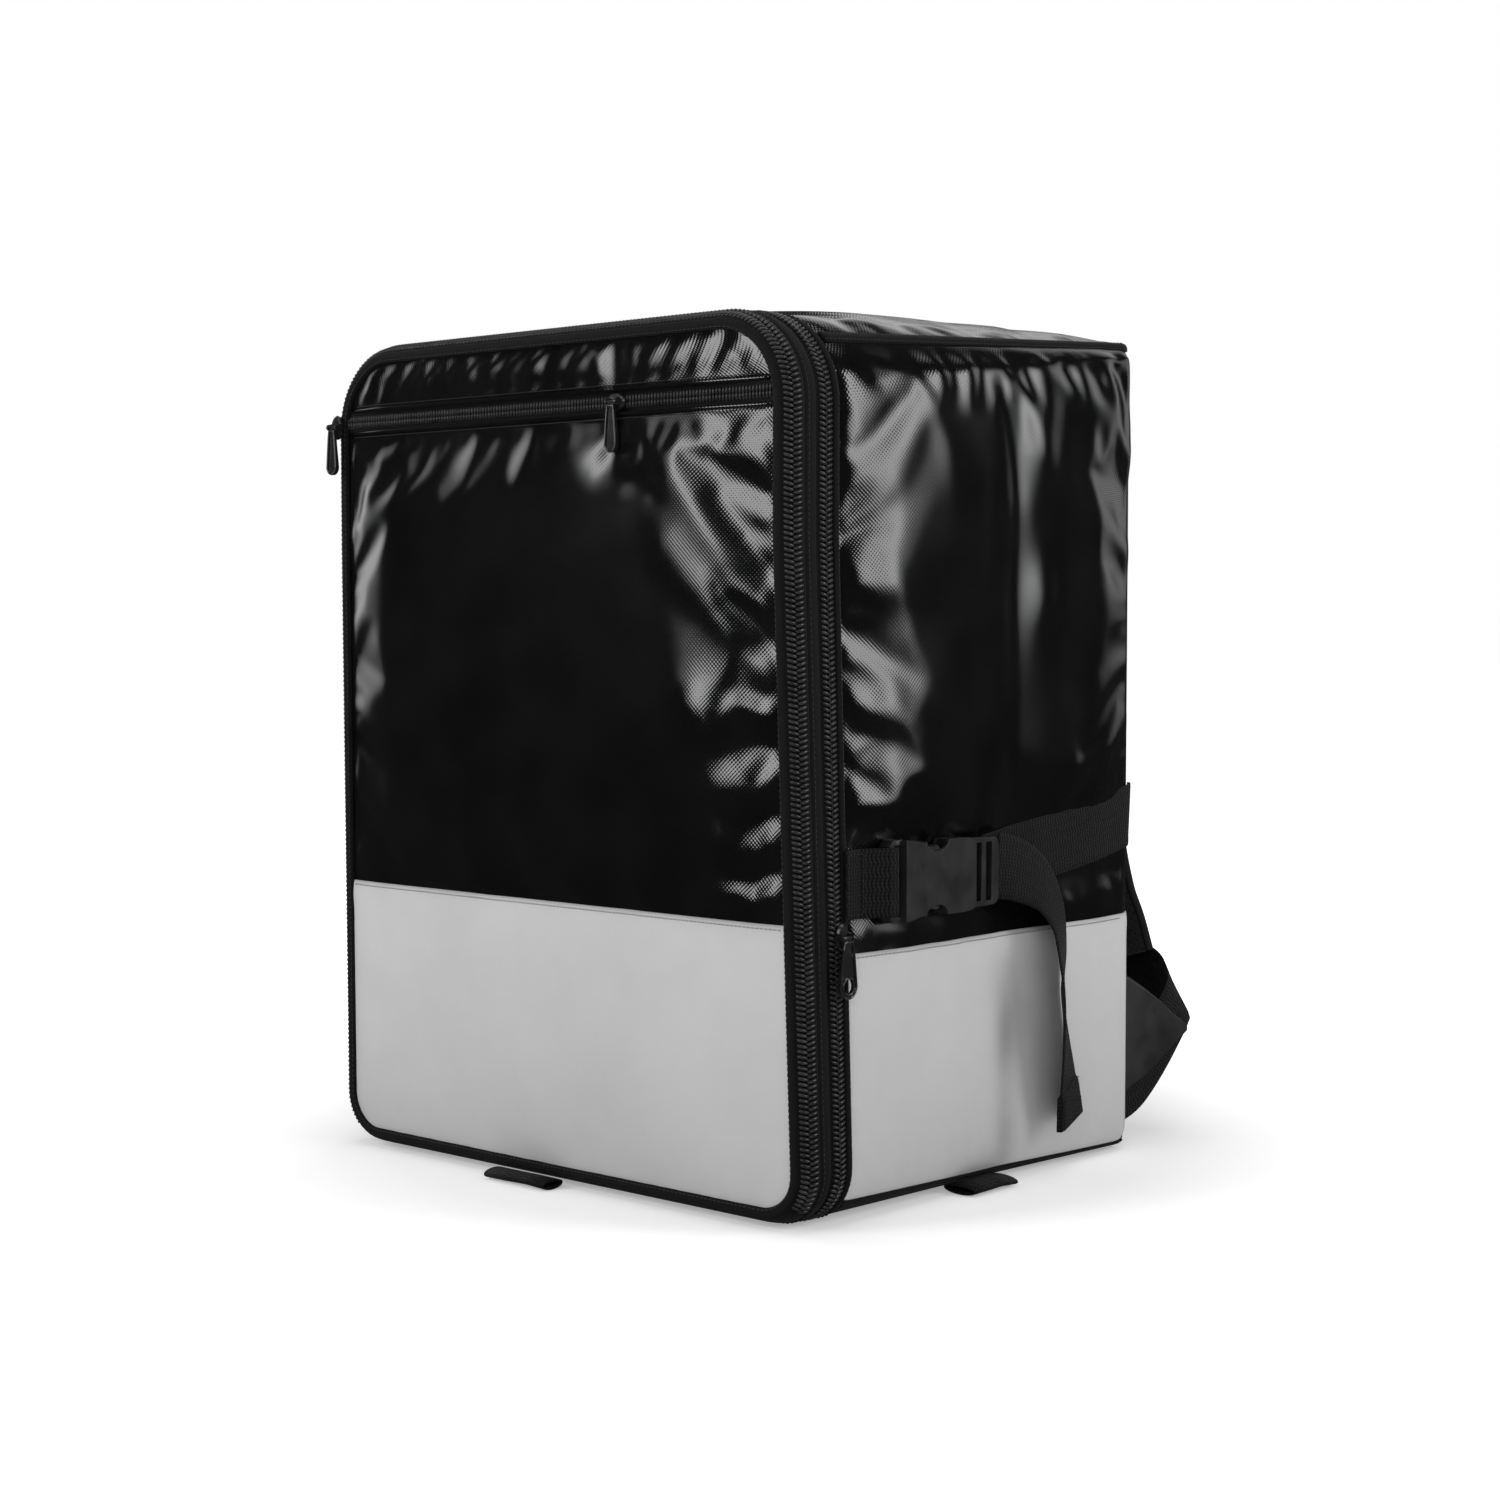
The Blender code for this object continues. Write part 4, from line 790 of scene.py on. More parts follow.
def side_depths():
    start = np.array([PANEL_START - 0.0015, PANEL_START, PANEL_START + 0.002, PANEL_START + 0.0045])
    run = np.linspace(PANEL_START + 0.008, DEPTH - REAR_ROUND, 53)
    return np.concatenate((start, run))


def skin_row(pick, y, rise):
    x, z, nx, nz = [part[pick] for part in full_outline(y)]
    return np.stack((x + nx * rise, np.full_like(x, y), z + nz * rise), axis=1)


def cover_rows(pick, relief):
    """A cover's rows. relief gives the height over the solid from (x, y, z)."""
    rows = []
    for y in side_depths():
        x, z = [part[pick] for part in full_outline(y)[:2]]
        rows.append(skin_row(pick, y, relief(x, y, z)))
    for angle in REAR_TURNS:
        y = DEPTH - REAR_ROUND + REAR_ROUND * math.sin(angle)
        rows.append(skin_row(pick, y, -REAR_INSET * (1 - math.cos(angle))))
    return rows


def strap_height(y):
    return STRAP_Z + STRAP_SLOPE * np.clip(y - 0.174, 0.0, 1.0)


def side_relief(y, z):
    """Height of the side's cover over the solid: filled out by the foam, creased and puckered."""
    u = y - PANEL_START
    wide = 0.042 + 0.060 * clip01((z - 0.345) / 0.09)
    pillow = 0.0012 * (1 - np.exp(-clip01(u / 0.3) * 0.3 / 0.003))
    pillow = pillow + (0.0034 + 0.0016 * clip01((z - 0.36) / 0.06)) * ramp(u, wide)
    valley = -0.0006 * bell(y - 0.186, 0.0065) * (0.6 + 0.4 * bell(z - 0.42, 0.09))
    upper, lower = bell(z - 0.44, 0.030), bell(z - 0.34, 0.026)
    ridge = 0.0023 * bell(y - 0.2085, 0.013) * (0.03 + 0.9 * upper + 0.8 * lower)
    bulge = 0.0034 * ramp(y - 0.10, 0.15) * (1 - ramp(y - 0.270, 0.035))
    ridge = ridge + bulge * (0.75 + 0.25 * np.cos(z * 30))
    ridge = ridge - 0.0012 * ramp(y - 0.190, 0.032) * (1 - clip01(upper + 0.9 * lower))
    table = [
        # From the zip's edge: ridges where it shines, valleys where it is pulled in
        (0.098, 0.436, 0.050, 0.352, 0.012, 0.009, 0.0014, 0.2),
        (0.0408, 0.347, 0.092, 0.345, 0.006, 0.016, 0.0026, 0.5),
        (0.0408, 0.366, 0.072, 0.384, 0.004, 0.009, -0.0024, 0.6),
        (0.0408, 0.318, 0.080, 0.300, 0.005, 0.010, -0.0015, 0.6),
        (0.0408, 0.226, 0.074, 0.228, 0.005, 0.012, 0.0024, 0.5),
        (0.0408, 0.246, 0.078, 0.262, 0.005, 0.010, -0.0018, 0.6),
        (0.0408, 0.285, 0.090, 0.268, 0.006, 0.014, 0.0012, 0.5),
        (0.104, 0.456, 0.134, 0.395, 0.004, 0.012, 0.0010, 0.7),
        (0.187, 0.462, 0.206, 0.425, 0.0035, 0.009, 0.0017, 0.4),
        (0.170, 0.460, 0.185, 0.400, 0.004, 0.007, -0.0012, 0.3),
        (0.250, 0.238, 0.296, 0.262, 0.007, 0.012, 0.0018, 0.2),
        (0.270, 0.300, 0.296, 0.400, 0.010, 0.014, -0.0008, 0.2),
        (0.262, 0.172, 0.296, 0.180, 0.006, 0.012, 0.0010, 0.2),
    ]
    table += edge_puckers(11, 0.255, 0.46, 0.015, 0.030, 0.0008, PANEL_START, 1.0)
    table += edge_puckers(12, 0.052, 0.30, 0.017, 0.026, 0.0012, 0.468, -1.0, upright=False)
    table += edge_puckers(13, 0.240, 0.46, 0.030, 0.026, 0.0008, 0.303, -1.0)
    table += edge_puckers(14, 0.050, 0.150, 0.019, 0.018, 0.0014, 0.149, 1.0, upright=False)
    total = pillow + valley + ridge + folds(y, z, table)
    strap = bell(z - strap_height(y), 0.026)
    held = bell(z - BAND_SIDE, 0.012)
    total = total * (1 - np.minimum(1.0, strap * 1.6)) * (1 - 0.45 * held)
    band = clip01((BAND_SIDE - z) / 0.02)
    dent = -0.0022 * bell(y - 0.187, 0.014) * clip01((0.15 - z) / 0.03) * (0.8 + 0.2 * np.cos(z * 40))
    swell = 0.0016 * bell(y - 0.115, 0.06) + 0.0014 * bell(y - 0.262, 0.04)
    total = total * (1 - band) + band * (dent + swell)
    nearby = 1 - np.exp(-clip01(u / 0.3) * 0.3 / 0.004)
    total = total * nearby - SEAM_SINK * (1 - nearby)
    column = np.arange(len(z))
    return total * np.minimum(clip01(column / 8.0), clip01((len(z) - 1.0 - column) / 5.0))


BAND = BAND_AT - LOW_AT
# Where along the depth the painted shade on the side band runs
PAINTED_SHADE_Y = 0.188


def band_painted_shade(depth, height):
    """Painted shade down the side's reflective band: darker along its fold line, most at two heights, fading
    out towards the band's top.
    """
    shade_patches = 0.35 + 0.65 * bell(height - 0.088, 0.024) + 0.30 * bell(height - 0.028, 0.016)
    return 0.62 * bell(depth - PAINTED_SHADE_Y, 0.011) * clip01((0.142 - height) / 0.03) * shade_patches


def make_sides():
    pick = slice(LOW_AT, HIGH_AT + 1)
    rows = cover_rows(pick, lambda x, y, z: side_relief(y, z))
    last = skin_row(pick, DEPTH, -0.0125)
    last[:, 1] = DEPTH - 0.0002
    grid = np.array(rows + [last])
    y, z = grid[..., 1], grid[..., 2]
    held = np.abs(z - strap_height(y)) < 0.024
    held[:3] = held[-6:] = True
    held[:, :4] = held[:, -4:] = True
    held[:, BAND - 1:BAND + 2] = True
    grid = relax(grid, True, held, 1.3, 0.0055, 0.003, np.where(z < BAND_SIDE, 0.35, 1.0))
    vinyl = grid[:, BAND - 1:]
    foot = grid[:, :BAND + 1].copy()
    around = unit(np.cross(np.gradient(foot, axis=1), np.gradient(foot, axis=0)))
    around *= np.sign(around[10, 10, 0])
    fold = np.clip(1.0 - (foot.shape[1] - 1 - np.arange(foot.shape[1])) / 3.0, 0, 1)
    lift = 0.0009 + 0.0004 * fold
    lift[-1] = 0.0006
    foot += around * lift[None, :, None]
    seam = foot[1:-6, -1] + (foot[1:-6, -2] - foot[1:-6, -1]) * 0.5 + around[1:-6, -2] * 0.0004
    strip = foot[:-1, :2] + around[:-1, :2] * 0.0007
    for side, turn in SIDES:
        flip = turn[0] > 0
        piece("vinyl_side_" + side, world(vinyl) * turn, VINYL, "vinyl", ("side_panel_" + side,), 0.85,
              thick=0.003, finer=True, flip=flip)
        made = piece("reflective_side_" + side, world(foot) * turn, REFLECTIVE, "reflective",
                     ("side_band_" + side,), 0.6, thick=0.0008, finer=True, flip=flip)
        # Painted shade along the reflective band's fold line, stored as a point attribute that darkens its
        # colour
        tone = made.data.attributes.new("painted_shade", "FLOAT", "POINT")
        tone.data.foreach_set("value", band_painted_shade(foot[..., 1], foot[..., 2]).ravel())
        stitch_row("stitches_side_band_" + side, world(seam) * turn, (turn[0], 0, 0),
                   PALE_THREAD, 0.0030)
        piece("foot_tape_" + side, world(strip) * turn, BINDING, "tape", thick=0.0008, finer=True, flip=flip)


def make_top():
    table = edge_puckers(21, -0.14, 0.14, 0.024, 0.040, 0.0011, PANEL_START, 1.0, upright=False)
    table += edge_puckers(22, 0.05, 0.29, 0.026, 0.034, 0.0010, 0.165, -1.0)
    table += edge_puckers(23, 0.05, 0.29, 0.026, 0.034, 0.0010, -0.165, 1.0)
    table.append((-0.05, 0.06, 0.12, 0.17, 0.012, 0.02, 0.0012, 0.3))
    table.append((0.02, 0.12, -0.13, 0.24, 0.012, 0.02, -0.0012, 0.3))

    def relief(x, y, z):
        edge = np.minimum(np.arange(len(x)), len(x) - 1.0 - np.arange(len(x)))
        nearby = 1 - math.exp(-(y - PANEL_START + 0.0015) / 0.006)
        return folds(x, y, table) * clip01(edge / 5.0) * nearby - SEAM_SINK * (1 - nearby)

    grid = np.array(cover_rows(slice(HIGH_AT, RIM_N - HIGH_AT + 1), relief))
    held = np.zeros(grid.shape[:2], bool)
    held[:2] = held[-2:] = True
    held[:, :2] = held[:, -2:] = True
    grid = relax(grid, True, held, 0.8, 0.004, 0.004, np.ones(held.shape))
    piece("vinyl_top", world(grid), VINYL, "vinyl", ("top_panel",), 0.8, thick=0.002, finer=True, flip=True)


def make_bottom_and_back():
    rows = []
    for y in np.concatenate((side_depths()[1:], (DEPTH - 0.004, DEPTH - 0.0006))):
        rows.append(skin_row(np.arange(-LOW_AT, LOW_AT + 1), y, 0.0) + (0.0, 0.0, 0.0002))
    piece("vinyl_bottom", world(rows), VINYL, "vinyl", ("bottom_panel",), 0.7, thick=0.003, flip=True)
    ring = skin_row(slice(None), DEPTH, -0.0110)
    heart = np.array((0.0, DEPTH, 0.25))
    rows = []
    for share in np.linspace(1.0, 0.02, 34):
        dip = 0.0004 + 0.0006 * bell(share - 0.97, 0.02)
        rows.append(heart + (ring - heart) * share - (0.0, dip, 0.0))
    flat_uv(piece("vinyl_back", world(rows), VINYL, "vinyl", ("back_panel",), 0.7, thick=0.004,
                  wrap=(False, True)))


make_sides()
make_top()
make_bottom_and_back()


# The door's face

POCKET_X = 0.060
DOOR_BASE = 0.0016
DOOR_INSET = BINDING_WIDTH - 0.001
DOOR_LOW = BASE_TUCK + DOOR_INSET
DOOR_HIGH = HEIGHT - DOOR_INSET


def door_relief(x, z):
    """How far the door's cover stands out in front of its seams."""
    half = door_half(z, DOOR_INSET)
    side = half - np.abs(x)
    low, high = z - DOOR_LOW, DOOR_HIGH - z
    pocket = (z > BAND_FRONT) & (z <= ZIP_LOW)
    strip = z > ZIP_HIGH
    band = z <= BAND_FRONT
    to_zip = np.where(pocket, ZIP_LOW - z, 0.0)
    right, left = half - x, half + x
    wide = 0.050 + 0.046 * clip01((z - 0.20) / 0.21)
    lift = 0.0010 * (1 - np.exp(-side / 0.003))
    fuller_up = 0.45 + 0.55 * clip01((z - BAND_FRONT) / 0.10)
    pocket_rise = 0.0060 * ramp(right, wide) * ramp(left, 0.055) * (1 - np.exp(-to_zip / 0.014)) * fuller_up
    strip_share = np.sin(math.pi * clip01((z - ZIP_HIGH) / (DOOR_HIGH - ZIP_HIGH)))
    strip_rise = (0.0034 * ramp(right, 0.075) * ramp(left, 0.05) + 0.0004) * strip_share ** 0.6
    band_rise = 0.0016 * ramp(side, 0.030) * (1 - np.exp(-low / 0.02))
    rise = lift + np.where(pocket, pocket_rise, np.where(strip, strip_rise, band_rise))
    table = [
        # Crests that run down to the right: their right-hand flanks catch the light
        (0.086, 0.434, 0.150, 0.352, 0.016, 0.013, 0.0019, 0.15),
        (0.104, 0.366, 0.166, 0.300, 0.013, 0.010, 0.0014, 0.3),
        (0.118, 0.280, 0.158, 0.232, 0.012, 0.008, 0.0013, 0.2),
        # Puckers from the right edge: ridges that shine and valleys between them
        (0.176, 0.408, 0.140, 0.420, 0.006, 0.012, 0.0015, 0.5),
        (0.176, 0.378, 0.140, 0.392, 0.005, 0.011, 0.0012, 0.5),
        (0.176, 0.331, 0.136, 0.342, 0.005, 0.013, 0.0014, 0.5),
        (0.176, 0.276, 0.126, 0.279, 0.005, 0.012, 0.0022, 0.45),
        (0.176, 0.243, 0.144, 0.238, 0.005, 0.010, 0.0016, 0.5),
        (0.176, 0.209, 0.146, 0.207, 0.005, 0.010, 0.0014, 0.5),
        (0.176, 0.180, 0.140, 0.178, 0.004, 0.010, 0.0018, 0.5),
        (0.178, 0.427, 0.150, 0.424, 0.004, 0.008, -0.0013, 0.8),
        (0.178, 0.390, 0.144, 0.391, 0.005, 0.010, -0.0024, 0.8),
        (0.178, 0.353, 0.146, 0.352, 0.005, 0.010, -0.0018, 0.8),
        (0.178, 0.313, 0.140, 0.311, 0.006, 0.012, -0.0018, 0.8),
        (0.178, 0.259, 0.146, 0.259, 0.005, 0.009, -0.0022, 0.8),
        (0.178, 0.224, 0.148, 0.224, 0.004, 0.008, -0.0016, 0.8),
        (0.178, 0.195, 0.146, 0.193, 0.004, 0.008, -0.0014, 0.8),
    ]
    table += edge_puckers(31, -0.165, 0.17, 0.022, 0.034, 0.0009, ZIP_LOW, -1.0, upright=False)
    table += edge_puckers(32, 0.18, 0.43, 0.024, 0.040, 0.0010, -0.176, 1.0)
    table += edge_puckers(33, -0.16, 0.17, 0.028, 0.030, 0.0006, BAND_FRONT, 1.0, upright=False)
    rise = rise + np.where(pocket, folds(x, z, table), 0.0)
    top = []
    for k, spot in enumerate(np.arange(-0.160, 0.165, 0.0185)):
        high_at = 0.0009 * (1 + 0.3 * math.cos(k * 2.4))
        top.append((spot, ZIP_HIGH + 0.001, spot + 0.013, ZIP_HIGH + 0.022, 0.004, 0.006, high_at, 0.4))
    rise = rise + np.where(strip, folds(x, z, top), 0.0)
    waves = folds(x, z, [
        (0.178, 0.120, 0.150, 0.118, 0.006, 0.010, -0.0009, 0.8),
        (0.178, 0.090, 0.152, 0.086, 0.006, 0.012, 0.0008, 0.8),
        (0.178, 0.052, 0.150, 0.058, 0.006, 0.012, -0.0007, 0.8),
        (-0.05, 0.165, -0.035, 0.100, 0.008, 0.03, 0.0008, 0.9),
        (0.06, 0.165, 0.05, 0.09, 0.010, 0.03, -0.0007, 0.9),
    ])
    rise = rise + np.where(band, waves, 0.0) - 0.0008 * bell(z - BAND_FRONT, 0.004)
    fade = 1 - np.exp(-np.maximum(np.minimum(np.minimum(side, low), high), 0.0) / 0.0035)
    seam = np.minimum(np.abs(z - ZIP_LOW), np.abs(z - ZIP_HIGH))
    seam = np.where((z > ZIP_LOW) & (z < ZIP_HIGH), 0.0, seam)
    # The cloth along the pocket's zip stands out over the zip's tape
    stand = 0.0038 * ramp(right, 0.062) * ramp(left, 0.040) * (seam < 0.03)
    rise = stand + (rise - stand) * (1 - np.exp(-seam / 0.005))
    # It lies flat where the pull hangs
    tab = bell(x - POCKET_X, 0.011) * clip01((z - 0.405) / 0.012)
    rise = np.where(tab > 0.02, np.minimum(rise, 0.0058 - 0.0028 * tab), rise)
    return np.clip(rise, -0.0012, None) * fade


def door_half(z, inset):
    high, low = HEIGHT - FRONT_TOP_RADIUS, BASE_TUCK + FRONT_LOW_RADIUS
    upper = np.sqrt(np.maximum((FRONT_TOP_RADIUS - inset) ** 2 - np.maximum(z - high, 0.0) ** 2, 0.0))
    lower = np.sqrt(np.maximum((FRONT_LOW_RADIUS - inset) ** 2 - np.maximum(low - z, 0.0) ** 2, 0.0))
    return np.where(z > high, HALF - FRONT_TOP_RADIUS + upper,
                    np.where(z < low, HALF - FRONT_LOW_RADIUS + lower, HALF - inset))


def door_heights():
    curl = 1 - np.cos(np.linspace(0, math.pi / 2, 8))
    low_rows = DOOR_LOW + 0.020 * curl
    high_rows = DOOR_HIGH - 0.016 * curl[::-1]
    return np.concatenate((
        low_rows, np.linspace(low_rows[-1], BAND_FRONT, 30)[1:], np.linspace(BAND_FRONT, ZIP_LOW, 60)[1:],
        (ZIP_LOW + 0.005, ZIP_HIGH - 0.005, ZIP_HIGH),
        np.linspace(ZIP_HIGH, high_rows[0], 5)[1:], high_rows[1:],
    ))


LIP = ((-0.0010, 0.0002), (-0.0006, 0.0009), (0.0003, 0.0013), (0.0011, 0.0010), (0.0015, 0.0002))


def make_door():
    shares = np.linspace(-1, 1, 85)
    heights = door_heights()
    z = np.repeat(heights[:, None], len(shares), axis=1)
    x = door_half(z, DOOR_INSET) * shares[None, :]
    grid = np.stack((x, DOOR_BASE - door_relief(x, z), z), axis=-1)
    band, zip_low, zip_high = (int(np.argmin(np.abs(heights - at))) for at in (BAND_FRONT, ZIP_LOW, ZIP_HIGH))
    held = np.zeros(z.shape, bool)
    held[:2] = held[-2:] = True
    held[:, :2] = held[:, -2:] = True
    held[band - 1:band + 2] = True
    held[zip_low - 1:zip_high + 2] = True
    under_pull = bell(x - POCKET_X, 0.014) * clip01((z - 0.395) / 0.02)
    free = np.where(z < BAND_FRONT, 0.4, 1.0) * (1 - 0.95 * under_pull)
    grid = relax(grid, False, held, 1.2, 0.006, 0.0030, free)
    front = grid[:band + 1].copy()
    front[..., 1] -= 0.0007
    front[-4:-1, :, 1] -= np.array((0.0002, 0.0005, 0.0004))[:, None]
    for name, part, look, slot, node, fill in (
            ("vinyl_pocket", grid[band - 1:zip_low + 1], VINYL, "vinyl", "pocket_panel", 0.8),
            ("vinyl_upper_strip", grid[zip_high:], VINYL, "vinyl", "front_upper_strip", 0.7),
            ("reflective_front", front, REFLECTIVE, "reflective", "front_band", 0.5)):
        piece(name, world(part), look, slot, (node,), fill, thick=0.0012, finer=True)
    row = grid[band, 1:-1] + np.array((0, -0.0015, -0.0026))
    stitch_row("stitches_front_band", world(row), (0, -1, 0), PALE_THREAD, 0.0030)
    for index, way, label in ((zip_low, 1, "low"), (zip_high, -1, "high")):
        near = grid[index - way, 2:-2].copy()
        near[:, 2] = grid[index, 2:-2, 2] - 0.0020 * way
        near[:, 1] = DOOR_BASE - door_relief(near[:, 0], near[:, 2]) - 0.0003
        stitch_row("stitches_pocket_" + label, world(near), (0, -1, 0), pitch=0.0028)
        lip = [grid[index, 1:-1] + np.array((0, -out, step * way)) for step, out in LIP]
        skirt = lip[-1].copy()
        skirt[:, 1] = DOOR_BASE - 0.0001
        piece("lip_" + label, world(lip + [skirt]), VINYL, "vinyl", thick=0.0004, flip=way < 0)
    inner = [world(np.stack((RIM[0] - RIM[2] * inset, np.full(RIM_N, y), RIM[1] - RIM[3] * inset), axis=1))
             for y, inset in ((0.0036, 0.0090), (0.0100, 0.0066), (0.0122, 0.0060))]
    piece("door_core", inner, VINYL, "vinyl", ("door_panel",), 0.9, wrap=(False, True), caps=True)


make_door()


# Zips, binding and gusset round the front edge

def arch(points, steps=3):
    """Round off a closed profile with a few points between each two."""
    points = [np.array(p, float) for p in points]
    run = []
    for i in range(len(points)):
        near = [points[(i + k) % len(points)] for k in (-1, 0, 1, 2)]
        run += [tuple(spline(*near, j / steps)) for j in range(steps)]
    return run


def make_edge():
    rim_band("edge_binding", arch((
        (0.0016, -0.0048), (-0.0002, -0.0050), (-0.0013, -0.0058), (-0.0016, -0.0075),
        (-0.0013, -0.0094), (-0.0001, -0.0106), (0.0012, -0.0106), (0.0022, -0.0075),
    )), BINDING, "tape", ("door_binding",))
    rim_stitches("stitches_binding", -0.0012, -0.0096, (-1, 0))
    rim_band("zip_tape_door", (
        (0.0028, -0.0080), (-0.0003, -0.0056), (0.0001, -0.0044), (0.0116, -0.0008),
        (0.0138, -0.0010), (0.0140, -0.0046), (0.0100, -0.0060),
    ), TAPE, "tape", ("door_zip",), SPLIT_LOW, SPLIT_BACK)
    coil_rows("zip_coil_door", SPLIT_LOW, SPLIT_BACK, (0.0058, -0.0021), (0.94, 0.33), (-0.33, 0.94),
              0.0055, 0.0014)
    rim_band("hinge_cloth", arch((
        (0.0028, -0.0080), (-0.0003, -0.0056), (0.0004, -0.0040), (0.0060, -0.0018), (0.0116, -0.0006),
        (0.0138, -0.0010), (0.0140, -0.0046), (0.0100, -0.0060),
    ), 2), BINDING, "tape", ("door_hinge_strip",), SPLIT_BACK, RIM_N + SPLIT_LOW)
    rim_band("gusset", arch((
        (0.0136, -0.0036), (0.0136, -0.0012), (0.0150, 0.0000), (0.0182, 0.0004),
        (0.0212, 0.0001), (0.0226, -0.0012), (0.0226, -0.0036),
    ), 2), BINDING, "vinyl", ("gusset_band",))
    rim_band("zip_tape_expansion", (
        (0.0220, -0.0042), (0.0220, -0.0014), (0.0240, -0.0008), (0.0350, -0.0008),
        (0.0358, -0.0006), (0.0360, -0.0042),
    ), TAPE, "tape", ("expansion_zip",))
    coil_rows("zip_coil_expansion", 0, RIM_N, (0.0296, -0.0002), (1, 0), (0, 1), 0.0050, 0.0013)
    rim_band("edge_tape", arch((
        (0.0356, -0.0034), (0.0356, -0.0002), (0.0366, 0.0010), (0.0385, 0.0012),
        (0.0402, 0.0004), (0.0406, -0.0012), (0.0398, -0.0034),
    ), 2), BINDING, "tape")
    rim_stitches("stitches_edge_tape", 0.0384, 0.0012, (0, 1))
    rim_stitches("stitches_gusset", 0.0158, 0.0001, (0, 1))


make_edge()


def make_pocket_zip():
    inset = BINDING_WIDTH - 0.002
    x = np.linspace(-1, 1, 60)
    rows = []
    for z, out in ((ZIP_LOW - 0.002, 0.0), (ZIP_LOW + 0.002, 0.0004),
                   (ZIP_HIGH - 0.002, 0.0004), (ZIP_HIGH + 0.002, 0.0)):
        half = door_half(np.full_like(x, z), inset)
        flat = np.full_like(x, DOOR_BASE + 0.0004 - out)
        rows.append(np.stack((x * half, flat, np.full_like(x, z)), axis=1))
    piece("zip_tape_pocket", world(rows), TAPE, "tape", ("pocket_zip",), thick=0.0008)
    middle = (ZIP_LOW + ZIP_HIGH) / 2
    half = float(door_half(np.array(middle), inset))
    ends = np.array(((-half, DOOR_BASE - 0.0002, middle), (half, DOOR_BASE - 0.0002, middle)))
    pitch = 0.0024
    places, along = walk(world(np.linspace(*ends, 200)), pitch)[:2]
    side = np.broadcast_to((0.0, 0.0, 1.0), places.shape)
    up = np.broadcast_to((0.0, -1.0, 0.0), places.shape)
    coil_mesh("zip_coil_pocket", places, along, side, up, pitch, 0.0038, 0.00072, 0.0012, 0.0)


make_pocket_zip()


def make_seams():
    """Bound seams along the top of each side."""
    profile = arch((
        (-0.0034, -0.0004), (-0.0026, 0.0016), (0.0, 0.0025), (0.0026, 0.0016), (0.0034, -0.0004),
    ))
    lines = []
    for y in np.linspace(PANEL_START + 0.001, DEPTH - REAR_ROUND * 0.5, 60):
        x, z, nx, nz = [part[HIGH_AT] for part in outline(y)]
        lines.append([(x - nz * a + nx * n, y, z + nx * a + nz * n) for a, n in profile])
    lines = np.array(lines)
    for side, turn in SIDES:
        piece("top_binding_" + side, world(lines) * turn, BINDING, "tape", ("top_seam_" + side,),
              wrap=(False, True), caps=True)
        for index, label in ((3, "low"), (9, "high")):
            stitch_row("stitches_top_%s_%s" % (label, side), world(lines[:, index]) * turn,
                       (turn[0] * 0.7, 0, 0.7))


make_seams()


# Webbing, straps and loops

def curve(points, steps):
    """A smooth line through rows of numbers."""
    points = np.asarray(points, float)
    ends = np.concatenate((2 * points[:1] - points[1:2], points, 2 * points[-1:] - points[-2:-1]))
    run = [spline(*near, i / steps) for near in zip(ends, ends[1:], ends[2:], ends[3:]) for i in range(steps)]
    return np.array(run + [points[-1]])


def strap(name, node, centres, across, thick=WEB_THICK):
    """Webbing with rounded edges along a line of centres. Returns its directions across and out."""
    across = np.broadcast_to(np.asarray(across, float), centres.shape)
    along = unit(np.gradient(centres, axis=0))
    side = unit(across - along * (across * along).sum(axis=1)[:, None])
    normal = np.cross(side, along)
    half = WEB_WIDTH / 2
    rise = np.broadcast_to(thick, len(centres))[:, None] / 2
    flat = np.linspace(-1, 1, 15)
    ring = [(a, 1.0) for a in flat] + [(1.007, 0.0)] + [(-a, -1.0) for a in flat] + [(-1.007, 0.0)]
    grid = np.stack([centres + side * (a * half) + normal * (n * rise * (1 - 0.45 * abs(a) ** 12))
                     for a, n in ring], axis=1)
    piece(name, grid, WEBBING, "webbing", (node,), wrap=(False, True), caps=True)
    return side, normal


def side_line(y, z, out):
    """Points standing out from the right side's solid."""
    points = []
    for depth, height, away in zip(*np.broadcast_arrays(y, z, out)):
        x, heights = [part[LOW_AT:HIGH_AT + 1] for part in outline(depth)[:2]]
        points.append((np.interp(height, heights, x) + away, depth, height))
    return np.array(points)


def side_out(y):
    return side_line([y], [STRAP_Z], [0.0])[0, 0]


def both_sides(build):
    for side, turn in SIDES:
        build(side, turn)


def box_stitches(name, corner, a, b, normal):
    """A square of stitches."""
    corner, a, b = (np.asarray(v, float) for v in (corner, a, b))
    for k, (start, end) in enumerate(((0, a), (a, a + b), (a + b, b), (b, 0))):
        line = np.linspace(corner + start, corner + end, 8)
        stitch_row("%s_%d" % (name, k), line, normal, pitch=0.0028)


WEB_LIFT = 0.0006
REAR_CLIMB = 0.0225


